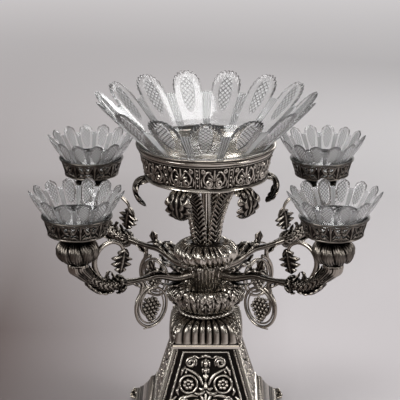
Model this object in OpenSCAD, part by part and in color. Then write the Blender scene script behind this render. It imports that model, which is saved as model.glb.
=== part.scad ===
// Silver epergne: a four-sided pedestal and foliate stem that carry one large
// cut-glass bowl, and four pull-out scroll branches that each carry a small glass dish.
// Millimetres, +Z up, origin on the table under the middle of the base.

/* [Base] */
// Height of each foot
foot_h = 10; // [6:1:20]
// Radius of each foot
foot_r = 14; // [10:1:18]
// Distance of the feet from the axis
foot_reach = 134; // [124:1:138]
// Height of the stepped plinth
plinth_h = 47; // [40:1:56]
// Half width of the plinth at its foot
plinth_half = 109; // [104:1:116]
// Half width of the plinth at its top
plinth_top = 77; // [75:1:82]
// Wall of the hollow plinth and pedestal
shell_wall = 5; // [3:0.5:7]
// Height of the pedestal
pedestal_h = 89; // [80:1:100]
// Half width of the pedestal at its top
pedestal_top = 48.5; // [45:0.5:52]
// Outward lean of the pedestal's faces, per mm of height
batter = 0.292; // [0.25:0.01:0.3]
// Leg of the pedestal's canted corners
cant = 2; // [1:0.5:4]

/* [Face panels] */
// Border between the canted corner and the panel's recess
panel_border = 8; // [5:0.5:10]
// Depth of the recess in each face
panel_depth = 2; // [1:0.25:3]
// Open channel round each panel
panel_channel = 6; // [4:0.5:8]
// Width of the panel's raised frame
panel_frame = 2.5; // [2:0.25:4]

/* [Stem] */
// Thickness of the cap plate on the pedestal
cap_h = 5; // [3:0.5:8]
// Half width of the cap plate
cap_half = 51; // [49:0.5:54]
// Height of the gadrooned cushion
cushion_h = 35; // [28:1:42]
// Half width of the cushion
cushion_half = 51.5; // [48:0.5:54]
// Height of the garland collar
collar_h = 9; // [6:0.5:12]
// Radius of the garland collar
collar_r = 37; // [34:0.5:40]
// Height of the gadrooned cup
cup_h = 21; // [16:1:26]
// Radius of the cup at its lip
cup_r = 50; // [46:0.5:54]
// Height of the leaf calyx
calyx_h = 13; // [8:1:18]
// Radius of the leaf calyx
calyx_r = 58; // [54:1:62]
// Height of the fluted neck
neck_h = 46; // [42:1:52]
// Radius of the neck at its foot
neck_r = 21; // [19:0.5:24]
// Height of the leaf knop
knop_h = 26; // [22:1:34]
// Radius of the leaf knop
knop_r = 46; // [42:1:50]
// Height of the palm stem
palm_h = 105; // [96:1:115]
// Turn of the palm cluster about the axis
palm_turn = 7; // [0:1:30]
// Radius of the tie rod
rod_r = 4; // [3:0.5:5]

/* [Main frame and bowl] */
// Height of the chased band
band_h = 41.6; // [34:0.2:48]
// Radius of the band at its foot
band_foot_r = 88; // [84:0.5:92]
// Radius of the band at its top
band_top_r = 99; // [96:0.5:104]
// Wall of the band
band_wall = 2.5; // [2:0.25:3.5]
// Height of the rim moulding
rim_h = 5.4; // [4:0.2:8]
// Radius of the bowl at the tips of its petals
bowl_r = 160; // [150:1:175]
// Height of the petal tips over the rim
bowl_rise = 68; // [58:1:80]
// Number of petals round the bowl
bowl_petals = 15; // [11:1:19]
// Wall of the bowl
bowl_wall = 5; // [4:0.5:7]

/* [Branches] */
// Angle of each branch from the X axis
arm_angle = 40; // [36:1:45]
// Distance of each dish from the axis
arm_reach = 231; // [220:1:245]
// Rise of each branch from its socket to its boss
arm_rise = 60; // [50:1:70]
// Radius of the spigot at the branch root
spigot_r = 5.5; // [4:0.5:6.5]
// Length of that spigot
spigot_len = 18; // [12:1:19]
// Radius of the lobed boss
boss_r = 29; // [24:0.5:32]
// Height of the lobed boss
boss_h = 34; // [28:1:40]
// Radius of the pendant scroll
pendant_r = 28; // [22:1:30]
// Radius of the scroll tendrils
tendril_r = 2.4; // [1.8:0.1:3]

/* [Dish frames and dishes] */
// Height of each pierced frame
dish_frame_h = 27; // [22:0.5:32]
// Radius of a frame at its foot
dish_foot_r = 40; // [36:0.5:44]
// Radius of a frame at its rim
dish_rim_r = 48; // [45:0.5:52]
// Radius of the spigot that a frame sits on
seat_r = 6; // [5:0.5:8]
// Windows round each frame
windows = 12; // [8:1:16]
// Radius of a dish at its petal tips
dish_r = 66.7; // [60:0.5:74]
// Height of the petal tips over the frame
dish_rise = 34; // [26:1:40]
// Petals round each dish
dish_petals = 14; // [10:1:18]
// Wall of a dish
dish_wall = 3.5; // [3:0.25:5]

/* [Fits] */
// Radial clearance of a sliding fit
fit = 0.08; // [0.04:0.01:0.1]
// Gap between a lifted piece and its seat
rest_gap = 0.3; // [0.2:0.05:0.5]

/* [Hidden] */
$fn = 64;
silver = "#b4aca0";
dark_silver = "#7d766e";
bright_silver = "#cfc8bc";
glass = "#dce6ea";

// Levels of the stacked pieces
z_plinth = foot_h;
z_pedestal = z_plinth + plinth_h;
z_cap = z_pedestal + pedestal_h;
z_cushion = z_cap + cap_h;
z_collar = z_cushion + cushion_h;
z_cup = z_collar + collar_h;
z_calyx = z_cup + cup_h;
flange_h = 3;
z_neck = z_calyx + flange_h;
z_petals = z_neck + neck_h;
z_knop = z_petals + flange_h;
z_palm = z_knop + knop_h;
z_band = z_palm + palm_h;
z_rim = z_band + band_h;
z_lip = z_rim + rim_h;
pan_h = 3;
z_pan = z_band + pan_h;

// Tie rod through the stem
rod_hole = rod_r + fit;
rod_head_r = 2.6 * rod_r;
rod_head_h = 5;
nut_h = 6;
sleeve_r = rod_r + 3;

// Pedestal faces
pedestal_foot = pedestal_top + batter * pedestal_h;
lean = atan(batter);
face_len = pedestal_h / cos(lean);
recess_end = 8;

// Sockets of the branches
socket_r = spigot_r + 3;
neck_top = neck_r + 8;
socket_end = neck_top + 3;
z_socket = z_neck + 0.7 * neck_h;
arm_angles = [arm_angle, 180 - arm_angle, 180 + arm_angle, 360 - arm_angle];

// Boss, dish frame and dish on each branch
z_boss = z_socket + arm_rise;
z_flange = z_boss + boss_h + 2;
seat_flange_h = 4;
z_hub = z_flange + seat_flange_h;
hub_h = 6.5;
z_floor = z_hub + hub_h;
z_dish_foot = z_hub + 4;
z_dish_rim = z_dish_foot + dish_frame_h;
dish_frame_wall = 2.2;

function mix(a, b, t) = a + (b - a) * t;

// Catmull-Rom curve through hand-chosen points
function curve_point(p, i, t) =
    let (n = len(p) - 1, a = p[max(i - 1, 0)], b = p[i], c = p[i + 1], d = p[min(i + 2, n)])
    0.5 * (2 * b + (c - a) * t + (2 * a - 5 * b + 4 * c - d) * t * t
        + (3 * b - a - 3 * c + d) * t * t * t);
function curve(p, steps) =
    [for (i = [0 : len(p) - 2]) for (k = [0 : steps - 1]) curve_point(p, i, k / steps), p[len(p) - 1]];
function tangent(p, i) =
    let (d = p[min(i + 1, len(p) - 1)] - p[max(i - 1, 0)]) d / norm(d);

// Value at share t of a list of evenly spaced values
function along(v, t) =
    let (s = t * (len(v) - 1), i = min(floor(s), len(v) - 2)) mix(v[i], v[i + 1], s - i);

// Cross-sections: a round one, and a keeled leaf of half width w and half thickness t
function round_shape(r, sides) = [for (k = [0 : sides - 1]) r * [cos(360 * k / sides), sin(360 * k / sides)]];
function leaf_shape(w, t) =
    [[t, 0], [0.3 * t, 0.5 * w], [-0.4 * t, w], [-t, 0], [-0.4 * t, -w], [0.3 * t, -0.5 * w]];

// A cross-section set square to a curve in the XZ plane
function section(p, i, shape) =
    let (t = tangent(p, i)) [for (s = shape) [p[i][0] - t[1] * s[0], -s[1], p[i][1] + t[0] * s[0]]];

// Solid skinned over rings of equal point counts
module loft(rings) {
    n = len(rings[0]);
    m = len(rings);
    polyhedron(
        points = [for (r = rings) each r],
        faces = [
            [for (i = [0 : n - 1]) i],
            [for (i = [n - 1 : -1 : 0]) (m - 1) * n + i],
            for (j = [0 : m - 2]) for (i = [0 : n - 1])
                let (a = j * n + i, b = j * n + (i + 1) % n) each [[a, a + n, b + n], [a, b + n, b]]
        ]);
}

// Tapered round tendril along a curve, its radius read from a list
module tendril(path, radii, sides = 5) {
    last = len(path) - 1;
    loft([for (i = [0 : last]) section(path, i, round_shape(along(radii, i / last), sides))]);
}

// Leaf along a curve, its half widths and half thicknesses read from lists, with a notched edge
module leaf(path, widths, thicks, notch = 0.2) {
    last = len(path) - 1;
    loft([for (i = [0 : last])
        let (t = i / last, w = along(widths, t) * (i % 2 == 0 ? 1 : 1 - notch))
        section(path, i, leaf_shape(w, along(thicks, t)))]);
}

// Ring with rounded lobes that bulge by depth and meet in creases
function lobed_ring(r, z, depth, lobes, per, lift = 0) =
    [for (i = [0 : lobes * per - 1])
        let (a = 360 * i / (lobes * per), s = abs(sin(lobes * a / 2)), q = r + depth * s)
        [q * cos(a), q * sin(a), z + lift * s]];

// Gadrooned solid of revolution: profile rows are [radius, height, lobe depth]
module gadrooned(profile, lobes, per = 4) {
    loft([for (p = profile) lobed_ring(p[0], p[1], p[2], lobes, per)]);
}

// Ring of leaves: closed profile rows are [radius, height, lobe depth, lobe lift]
module leaf_ring(profile, lobes, per = 6) {
    n = lobes * per;
    m = len(profile);
    polyhedron(
        points = [for (p = profile) each lobed_ring(p[0], p[1], p[2], lobes, per, p[3])],
        faces = [for (j = [0 : m - 1]) for (i = [0 : n - 1])
            let (k = (j + 1) % m, a = j * n + i, b = j * n + (i + 1) % n, c = k * n + i, d = k * n + (i + 1) % n)
            each [[a, c, d], [a, d, b]]]);
}

module rod_bore(z, h) {
    translate([0, 0, z - 1]) cylinder(r = rod_hole, h = h + 2);
}

// Places children at the four corners of the base
module at_corner(k) {
    rotate(45 + 90 * k) children();
}

// Foot: a bun under the plinth, with a leaf that curls up round the plinth's corner
plinth_corner = plinth_half * sqrt(2);
module foot(k) {
    line = [
        [foot_reach + 0.6 * foot_r, 0.45 * foot_h], [mix(foot_reach + foot_r, plinth_corner, 0.6), 0.32 * foot_h],
        [plinth_corner + 5, 0.45 * foot_h], [plinth_corner + 9, 0.95 * foot_h],
        [plinth_corner + 8.6, 1.45 * foot_h], [plinth_corner + 11, 1.8 * foot_h]
    ];
    color(silver) at_corner(k) {
        translate([foot_reach, 0, 0]) rotate_extrude() polygon([
            [0, 0], [0.72 * foot_r, 0],
            for (a = [-60 : 20 : 60]) [foot_r * (0.8 + 0.2 * cos(1.5 * a)), foot_h * (0.42 + 0.4 * a / 60)],
            [0.6 * foot_r, foot_h], [foot_pin_r, foot_h],
            [foot_pin_r, foot_h + foot_pin_h], [0, foot_h + foot_pin_h]
        ]);
        leaf(curve(line, 2), [8, 11, 13, 12, 9, 3], [2.6, 2.2, 1.9, 1.7, 1.4, 0.9], 0.15);
    }
}
foot_pin_r = 4;
foot_pin_h = 8;

// Stepped square plinth: rows are the half width and height at each edge of its mouldings
plinth_rows = [
    [0, 0], [0, 0.15], [0.2, 0.17], [0.2, 0.25], [0.34, 0.3], [0.36, 0.34],
    [0.63, 0.58], [0.67, 0.6], [0.98, 0.9], [1, 0.92], [1, 1]
];
module plinth() {
    color(silver) difference() {
        loft([for (w = plinth_rows)
            let (h = mix(plinth_half, plinth_top, w[0]), z = z_plinth + w[1] * plinth_h)
            [[h, -h, z], [h, h, z], [-h, h, z], [-h, -h, z]]]);
        translate([0, 0, z_plinth - 1]) linear_extrude(plinth_h - shell_wall + 1)
            square(2 * cavity_half, center = true);
        translate([0, 0, z_plinth - 1]) linear_extrude(1 + cover_h) square(2 * cover_half, center = true);
        for (k = [0 : 3]) at_corner(k) translate([foot_reach, 0, z_plinth - 1])
            cylinder(r = foot_pin_r + fit, h = foot_pin_h + 1.5);
        rod_bore(z_plinth, plinth_h);
    }
}

// Flat cover that closes the hollow of the plinth from below
cavity_half = plinth_top - 2 * shell_wall;
cover_half = cavity_half + 4;
cover_h = 2.5;
module base_cover() {
    color(dark_silver) translate([0, 0, z_plinth]) linear_extrude(cover_h)
        square(2 * (cover_half - fit), center = true);
}

// Square frustum with canted corners, all faces moved out by grow
module frustum(grow, z0, z1) {
    loft([for (z = [z0, z1])
        let (h = pedestal_foot - batter * (z - z_pedestal) + grow, c = cant)
        [[h, -h + c, z], [h, h - c, z], [h - c, h, z], [-h + c, h, z],
         [-h, h - c, z], [-h, -h + c, z], [-h + c, -h, z], [h - c, -h, z]]]);
}

// Outline of a face between its borders, in the plane of the face
module face_plan(inset) {
    low = pedestal_foot - cant - panel_border - inset;
    high = pedestal_top - cant - panel_border + batter * recess_end - inset;
    polygon([[-low + batter * recess_end, recess_end + inset], [low - batter * recess_end, recess_end + inset],
             [high, face_len - recess_end - inset], [-high, face_len - recess_end - inset]]);
}

// Sets a face's own plane, x across and y up the slope, on side k of the pedestal
module on_face(k) {
    rotate(90 * k) translate([0, -pedestal_foot, z_pedestal]) rotate([90 - lean, 0, 0]) children();
}

module pedestal() {
    color(silver) difference() {
        frustum(0, z_pedestal, z_cap);
        frustum(-shell_wall - panel_depth, z_pedestal - 1, z_cap - shell_wall);
        for (k = [0 : 3]) on_face(k) translate([0, 0, -panel_depth])
            linear_extrude(panel_depth + 5) face_plan(0);
        rod_bore(z_cap - 2 * shell_wall, 2 * shell_wall);
    }
}

// Relief of a face: paired scrolls and roundels about an upright palmette
relief_h = 1.6;
scroll_w = 2;
module ring_plan(r) {
    difference() {
        circle(r);
        circle(r - scroll_w);
    }
}
module palmette_plan() {
    for (a = [-60 : 20 : 60]) rotate(a) translate([0, 8]) scale(1 - abs(a) / 200) intersection() {
        translate([6, 0]) circle(9);
        translate([-6, 0]) circle(9);
    }
    circle(4);
}
module relief_plan() {
    mid = 0.5 * face_len;
    for (s = [-1, 1]) {
        translate([s * 20, mid + 25]) ring_plan(6.5);
        translate([s * 24, mid - 3]) ring_plan(11);
        translate([s * 24, mid - 3]) circle(6);
        translate([s * 30, mid - 27]) ring_plan(8);
        translate([s * 30, mid - 27]) circle(4);
    }
    translate([0, mid + 30]) circle(4);
    translate([0, mid + 12]) intersection() {
        translate([10, 0]) circle(15);
        translate([-10, 0]) circle(15);
    }
    translate([0, mid - 30]) palmette_plan();
}
module panel(k) {
    color(dark_silver) on_face(k) translate([0, 0, -panel_depth]) {
        linear_extrude(panel_depth / 2) face_plan(panel_channel);
        linear_extrude(panel_depth + 0.4) difference() {
            face_plan(panel_channel);
            face_plan(panel_channel + panel_frame);
        }
        linear_extrude(panel_depth / 2 + relief_h) intersection() {
            relief_plan();
            face_plan(panel_channel + 0.5);
        }
    }
}

seat = 0.05;

module cap_plate() {
    color(bright_silver) difference() {
        union() {
            translate([0, 0, z_cap]) linear_extrude(0.6 * cap_h) square(2 * cap_half, center = true);
            translate([0, 0, z_cap]) linear_extrude(cap_h) square(2 * cap_half - cap_h, center = true);
        }
        rod_bore(z_cap, cap_h);
    }
}

// Square cushion: a rounded-square section with gadroons that fan up to the collar
cushion_lobes = 24;
cushion_depth = 3;
function squircle(a, e) = 1 / pow(pow(abs(cos(a)), e) + pow(abs(sin(a)), e), 1 / e);
function cushion_ring(half, z, depth, e) =
    [for (i = [0 : cushion_lobes * 4 - 1])
        let (a = 360 * i / (cushion_lobes * 4), s = abs(sin(cushion_lobes * a / 2)))
        (half * squircle(a, e) + depth * s) * [cos(a), sin(a), 0] + [0, 0, z]];
module cushion() {
    rows = [[0.9, 0, 0, 6], [0.98, 0.16, 1, 6], [1, 0.42, 1, 6], [0.95, 0.74, 0.9, 5], [0.84, 0.95, 0.6, 4]];
    color(silver) difference() {
        loft([
            cushion_ring(collar_r, z_cushion, 0, 2),
            for (w = rows)
                cushion_ring(w[0] * cushion_half, z_cushion + w[1] * cushion_h, w[2] * cushion_depth, w[3]),
            cushion_ring(collar_r + 1, z_collar, 0, 2)
        ]);
        rod_bore(z_cushion, cushion_h);
    }
}

module collar() {
    color(bright_silver) difference() {
        translate([0, 0, z_collar]) rotate_extrude() polygon([
            [0, 0], [collar_r, 0],
            for (a = [-75 : 25 : 75]) [collar_r + 2 * cos(a), collar_h * (0.36 + 0.3 * sin(a))],
            [0.93 * collar_r, 0.72 * collar_h], [0.93 * collar_r, collar_h], [0, collar_h]
        ]);
        rod_bore(z_collar, collar_h);
    }
}

cup_lobes = 22;
cup_depth = 3.4;
module cup() {
    foot = 0.93 * collar_r;
    color(silver) difference() {
        gadrooned([
            [foot, z_cup, 0],
            [mix(foot, cup_r, 0.25), z_cup + 0.12 * cup_h, 0.8 * cup_depth],
            [mix(foot, cup_r, 0.7), z_cup + 0.45 * cup_h, cup_depth],
            [cup_r, z_cup + 0.82 * cup_h, cup_depth],
            [0.98 * cup_r, z_calyx, 0]
        ], cup_lobes);
        rod_bore(z_cup, cup_h);
    }
}

// Calyx of leaves that curl out over the cup
calyx_leaves = 12;
module calyx() {
    curl = 0.1 * calyx_r;
    tip = calyx_r - curl;
    inside = rod_r + 1;
    color(silver) leaf_ring([
        [inside, z_calyx, 0, 0], [0.8 * cup_r, z_calyx, 0, 0],
        [0.94 * tip, z_calyx + 0.42 * calyx_h, 0.5 * curl, 0],
        [tip, z_calyx + 0.75 * calyx_h, curl, 0.1 * calyx_h],
        [0.96 * tip, z_calyx + 0.9 * calyx_h, 0.9 * curl, 0.1 * calyx_h],
        [0.78 * tip, z_calyx + 0.42 * calyx_h, 0.4 * curl, 0],
        [neck_r + 4, z_neck, 0, 0], [inside, z_neck, 0, 0]
    ], calyx_leaves);
}

// Fluted neck with a round socket for each branch
neck_flutes = 16;
module neck() {
    color(bright_silver) difference() {
        union() {
            gadrooned([
                [neck_r, z_neck, 0], [neck_r, z_neck + 3, 1.6],
                [neck_r + 2.5, z_neck + 0.55 * neck_h, 1.8],
                [neck_top - 1.8, z_petals - 3, 1.8], [neck_top, z_petals, 0]
            ], neck_flutes);
            for (a = arm_angles) rotate(a) translate([0, 0, z_socket]) rotate([0, 90, 0])
                cylinder(r = socket_r, h = socket_end);
        }
        for (a = arm_angles) rotate(a) translate([socket_end - spigot_len - 1, 0, z_socket]) rotate([0, 90, 0])
            cylinder(r = spigot_r + fit, h = spigot_len + 2);
        rod_bore(z_neck, neck_h);
    }
}

// Drooping petals under the knop
knop_lobes = 14;
module knop_petals() {
    inside = rod_r + 1;
    color(silver) leaf_ring([
        [inside, z_petals, 0, 0], [neck_top + 2, z_petals, 0, 0],
        [neck_top + 5, z_petals - 2.5, 2, -2], [neck_top + 7, z_petals - 2.5, 2.5, -2],
        [neck_top + 6, z_petals + 1, 2, 0], [neck_top + 1, z_knop, 0, 0], [inside, z_knop, 0, 0]
    ], knop_lobes, 4);
}

module knop() {
    low = neck_top + 1;
    lobe = 5;
    color(silver) difference() {
        gadrooned([
            [low, z_knop, 0], [mix(low, knop_r - lobe, 0.6), z_knop + 0.12 * knop_h, 0.8 * lobe],
            [knop_r - lobe, z_knop + 0.42 * knop_h, lobe], [knop_r - 1.3 * lobe, z_knop + 0.66 * knop_h, lobe],
            [0.7 * knop_r, z_knop + 0.88 * knop_h, 0.8 * lobe], [0.5 * knop_r, z_palm, 0]
        ], knop_lobes);
        rod_bore(z_knop, knop_h);
    }
}

// Bright sleeve round the tie rod inside the palm stem, with a collar near its top
module stem_sleeve() {
    sleeve_collar = 0.72 * palm_h;
    color(bright_silver) difference() {
        translate([0, 0, z_palm]) rotate_extrude() polygon([
            [0, 0], [sleeve_r + 3, 0], [sleeve_r, 6],
            [sleeve_r, sleeve_collar], [sleeve_r + 3, sleeve_collar + 2], [sleeve_r + 3, sleeve_collar + 6],
            [sleeve_r, sleeve_collar + 8], [sleeve_r, palm_h - 6], [sleeve_r + 6, palm_h], [0, palm_h]
        ]);
        rod_bore(z_palm, palm_h);
    }
}

// Palm frond: a ribbed stalk that leans out under the frame and ends in a curled leaf
palm_fronds = 6;
module frond(k) {
    out = band_foot_r;
    path = curve([for (p = [[0.19, 0.004], [0.205, 0.16], [0.26, 0.4], [0.42, 0.72], [0.66, 0.9], [0.96, 0.957],
        [1.13, 0.91], [1.18, 0.8], [1.12, 0.65], [1, 0.56]])
        [p[0] * out, z_palm + p[1] * palm_h]], 2);
    stalk_half = 0.46 * 0.19 * out;
    color(silver) rotate(palm_turn + 360 * k / palm_fronds)
        leaf(path, [stalk_half, 8.5, 10.5, 11, 13, 16, 19, 19.5, 16, 6],
            [3.6, 3.6, 3.4, 3, 2.6, 2.4, 2, 1.8, 1.4, 0.8], 0.12);
}

module tie_rod() {
    color(dark_silver) {
        translate([0, 0, z_pedestal - shell_wall - rod_head_h]) cylinder(r = rod_head_r, h = rod_head_h);
        translate([0, 0, z_pedestal - shell_wall - rod_head_h])
            cylinder(r = rod_r, h = z_pan + nut_h + 1 - (z_pedestal - shell_wall - rod_head_h));
    }
}

module tie_nut() {
    color(bright_silver) difference() {
        translate([0, 0, z_pan]) cylinder(r = 2.2 * rod_r, h = nut_h, $fn = 6);
        translate([0, 0, z_pan - 1]) cylinder(r = rod_hole, h = nut_h + 2);
    }
}

// Floor of the main frame, clamped on the palm stem by the nut
pan_r = band_foot_r - band_wall;
module main_pan() {
    color(dark_silver) difference() {
        translate([0, 0, z_band]) cylinder(r = pan_r - fit, h = pan_h);
        rod_bore(z_band, pan_h);
    }
}

// Radius of the band's outer face at a share of its height, hollowed a little
function band_radius(t) = mix(band_foot_r, band_top_r, t) - 2 * sin(180 * t);
module main_band() {
    bead = 1.6;
    color(silver) translate([0, 0, z_band]) rotate_extrude($fn = 96) polygon([
        [pan_r, 0], [band_foot_r + bead, 0], [band_foot_r + bead, 2 * bead],
        for (t = [0.125 : 0.125 : 1]) [band_radius(t), t * band_h],
        for (t = [1 : -0.125 : 0.125]) [band_radius(t) - band_wall, t * band_h],
        [pan_r, 2 * bead]
    ]);
}

rim_out = 3;
module main_rim() {
    color(bright_silver) translate([0, 0, z_rim]) rotate_extrude($fn = 96) polygon([
        [band_top_r - band_wall, 0], [band_top_r, 0],
        for (a = [-70 : 20 : 90]) [band_top_r + rim_out * cos(a), rim_h * (0.5 + 0.5 * sin(a))],
        [band_top_r - band_wall, rim_h]
    ]);
}

// Notch between two tongue-shaped petals of a glass: flat at its floor, and as wide as the pitch at the tips
petal_share = 0.64;
notch_share = 0.32;
module petal_notch(pitch, depth, r0, r1, z_tip) {
    side = [for (t = [0, 0.35, 0.62, 0.82, 0.94, 1])
        [pitch / 2 - petal_share * pitch / 2 * sqrt(1 - pow(t, 2.2)), z_tip + depth * (t - 1)]];
    last = len(side) - 1;
    rotate([90, 0, 90]) translate([0, 0, r0]) linear_extrude(r1 - r0) polygon([
        for (p = side) [-p[0], p[1]],
        [-pitch / 2, z_tip + depth], [pitch / 2, z_tip + depth],
        for (i = [last : -1 : 0]) side[i]
    ]);
}

// Flared glass with a petal edge on a foot ring: rows of its outer face are [radius, height]
module petal_glass(outer, wall, foot_in, foot_out, foot_h, petals, depth) {
    top = outer[len(outer) - 1];
    face = curve(outer, 2);
    last = len(face) - 1;
    difference() {
        rotate_extrude($fn = 96) polygon([
            [0, face[0][1]], [foot_in, face[0][1]], [foot_in, face[0][1] - foot_h],
            [foot_out, face[0][1] - foot_h], [foot_out, face[0][1]],
            each face,
            for (i = [last : -1 : 0])
                face[i] + wall * mix(1, 0.7, i / last) * [-tangent(face, i)[1], tangent(face, i)[0]],
            [0, face[0][1] + wall]
        ]);
        for (k = [0 : petals - 1]) rotate(-90 + 360 * (k + 0.5) / petals)
            petal_notch(2 * PI * top[0] / petals, depth, 0.5 * top[0], 1.2 * top[0], top[1] + 0.2 * wall);
    }
}

bowl_foot_h = nut_h + 2;
module main_bowl() {
    z0 = z_pan + rest_gap + bowl_foot_h;
    throat = band_top_r - band_wall - 1.5;
    tip = z_lip + bowl_rise;
    color(glass) petal_glass([
        [0.66 * throat, z0], [0.86 * throat, mix(z0, z_lip, 0.24)], [0.97 * throat, mix(z0, z_lip, 0.7)],
        [throat, z_lip + rest_gap], [mix(throat, bowl_r, 0.42), mix(z_lip, tip, 0.4)],
        [mix(throat, bowl_r, 0.73), mix(z_lip, tip, 0.7)], [bowl_r, tip]
    ], bowl_wall, 0.5 * throat, 0.58 * throat, bowl_foot_h, bowl_petals, notch_share * bowl_rise);
}

// Centre line of a branch, from its socket to its boss, in shares of its run and rise
arm_root = socket_end + 12;
function on_branch(u, v) = [mix(arm_root, arm_reach, u), z_socket + v * arm_rise];
branch_line = [
    [socket_end + rest_gap, z_socket],
    for (p = [[0, 0], [0.08, 0.02], [0.17, 0.11], [0.27, 0.19], [0.37, 0.19], [0.47, 0.2], [0.58, 0.23],
        [0.68, 0.25], [0.78, 0.32], [0.87, 0.5], [0.955, 0.74], [1, 0.9], [1, 0.95], [1, 1]])
        on_branch(p[0], p[1])
];
collar_point = 7;
module branch_stem() {
    path = curve(branch_line, 2);
    knuckle = branch_line[collar_point];
    heading = branch_line[collar_point + 1] - branch_line[collar_point - 1];
    tendril(path, [socket_r, 7.4, 6.4, 5.5, 4.6, 4.6, 4.8, 6.5, 7.4, 8, 8.4, 8.4, 8, 8], 7);
    translate([socket_end - spigot_len, 0, z_socket]) rotate([0, 90, 0])
        cylinder(r = spigot_r, h = spigot_len + rest_gap + 2);
    translate([knuckle[0], 0, knuckle[1]]) rotate([0, 90 - atan2(heading[1], heading[0]), 0]) rotate_extrude()
        polygon([[0, -6], [6, -6], for (a = [-90 : 30 : 90]) [8 + 3 * cos(a), 4 * sin(a)], [9, 6], [0, 6]]);
}
// Lobed leaf cut in the plane of the branch, from its base to its tip
module flat_leaf(base, tip, half, lobes, thick) {
    run = tip - base;
    across = [-run[1], run[0]] / norm(run);
    edge = [for (i = [1 : 2 * lobes]) let (t = i / (2 * lobes + 1), q = i % 2 == 0 ? 0.5 : 1)
        [t, half * q * sin(180 * pow(t, 0.8))]];
    rotate([90, 0, 0]) linear_extrude(thick, center = true) polygon([
        base - 0.3 * half * across, for (e = edge) base + run * e[0] - e[1] * across,
        tip, for (i = [len(edge) - 1 : -1 : 0]) base + run * edge[i][0] + edge[i][1] * across,
        base + 0.3 * half * across
    ]);
}
module grapes(r) {
    for (p = [[-1.2, 1.5], [0, 1.7], [1.2, 1.5], [-0.7, 0.3], [0.7, 0.3], [0, -0.9], [0, -2]])
        translate([p[0] * r, 0, p[1] * r]) sphere(r);
}
// Scrolls cast with a branch: a hook with a hanging leaf, and a pendant ring with grapes
function spiral(c, r, turn, start, coil) =
    [for (t = [0 : 0.05 : 1])
        let (a = start - turn * t, q = r * (1 - coil * pow(max(0, (t - 0.5) / 0.5), 1.4)))
        c + q * [cos(a), sin(a)]];
module hook_scroll() {
    line = [on_branch(0.78, 0.34), on_branch(0.84, 0.72), on_branch(0.848, 0.98), on_branch(0.81, 1.19),
        on_branch(0.745, 1.3), on_branch(0.67, 1.31), on_branch(0.605, 1.2), on_branch(0.575, 1.03)];
    tendril(curve(line, 2), tendril_r * [1.5, 1.3, 1.1, 1, 1, 1, 1.1, 1.2]);
    flat_leaf(on_branch(0.58, 1.08), on_branch(0.615, 0.5), 0.5 * pendant_r, 4, 1.6 * tendril_r);
}
module pendant_scroll() {
    centre = on_branch(0.315, 0.17) - [0, pendant_r + 12];
    line = spiral(centre, pendant_r, 520, 75, 0.62);
    tendril(line, tendril_r * [1.3, 1, 1, 1, 0.9, 0.8]);
    tendril(curve([on_branch(0.45, 0.2), on_branch(0.4, 0.08), line[1], line[2]], 2),
        tendril_r * [1.5, 1.4, 1.1, 0.8]);
    translate([centre[0] + 1, 0, centre[1] - 4]) grapes(0.18 * pendant_r);
}
module leaf_sprays() {
    leaf(curve([on_branch(0.15, 0.09), on_branch(0.22, 0.29), on_branch(0.31, 0.35), on_branch(0.39, 0.28)], 2),
        [5, 7.5, 6.5, 1.5], [2.6, 2, 1.6, 0.8]);
    leaf(curve([on_branch(0.61, 0.23), on_branch(0.665, 0.43), on_branch(0.69, 0.58)], 2),
        [3.5, 5.5, 1.5], [2.6, 2, 0.8]);
    leaf(curve([on_branch(0.51, 0.2), on_branch(0.43, 0.04), on_branch(0.37, -0.07)], 2),
        [3.5, 4.6, 1.5], [2.6, 2, 0.8]);
}
module branch(k) {
    color(silver) rotate(arm_angles[k]) {
        branch_stem();
        hook_scroll();
        pendant_scroll();
        flat_leaf(on_branch(0.29, 0.17), on_branch(0.335, 0.62), 0.28 * pendant_r, 2, 1.6 * tendril_r);
        leaf_sprays();
    }
}

// Lobed boss on the branch end, with the seat of the dish frame
boss_lobes = 10;
module boss(k) {
    lobe = 3.5;
    r = boss_r - lobe;
    color(silver) rotate(arm_angles[k]) translate([arm_reach, 0, 0]) {
        gadrooned([
            [9, z_boss, 0], [0.55 * r, z_boss + 0.12 * boss_h, 2], [0.66 * r, z_boss + 0.24 * boss_h, 2],
            [0.92 * r, z_boss + 0.36 * boss_h, lobe], [r, z_boss + 0.58 * boss_h, lobe],
            [0.9 * r, z_boss + 0.8 * boss_h, lobe], [0.6 * r, z_boss + 0.95 * boss_h, 1.5],
            [9, z_boss + boss_h, 0]
        ], boss_lobes);
        translate([0, 0, z_boss + boss_h - 2]) cylinder(r = 8, h = 4.5);
        translate([0, 0, z_flange]) cylinder(r = 12, h = seat_flange_h);
        translate([0, 0, z_hub - 1]) cylinder(r = seat_r, h = hub_h + 0.5);
    }
}

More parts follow.
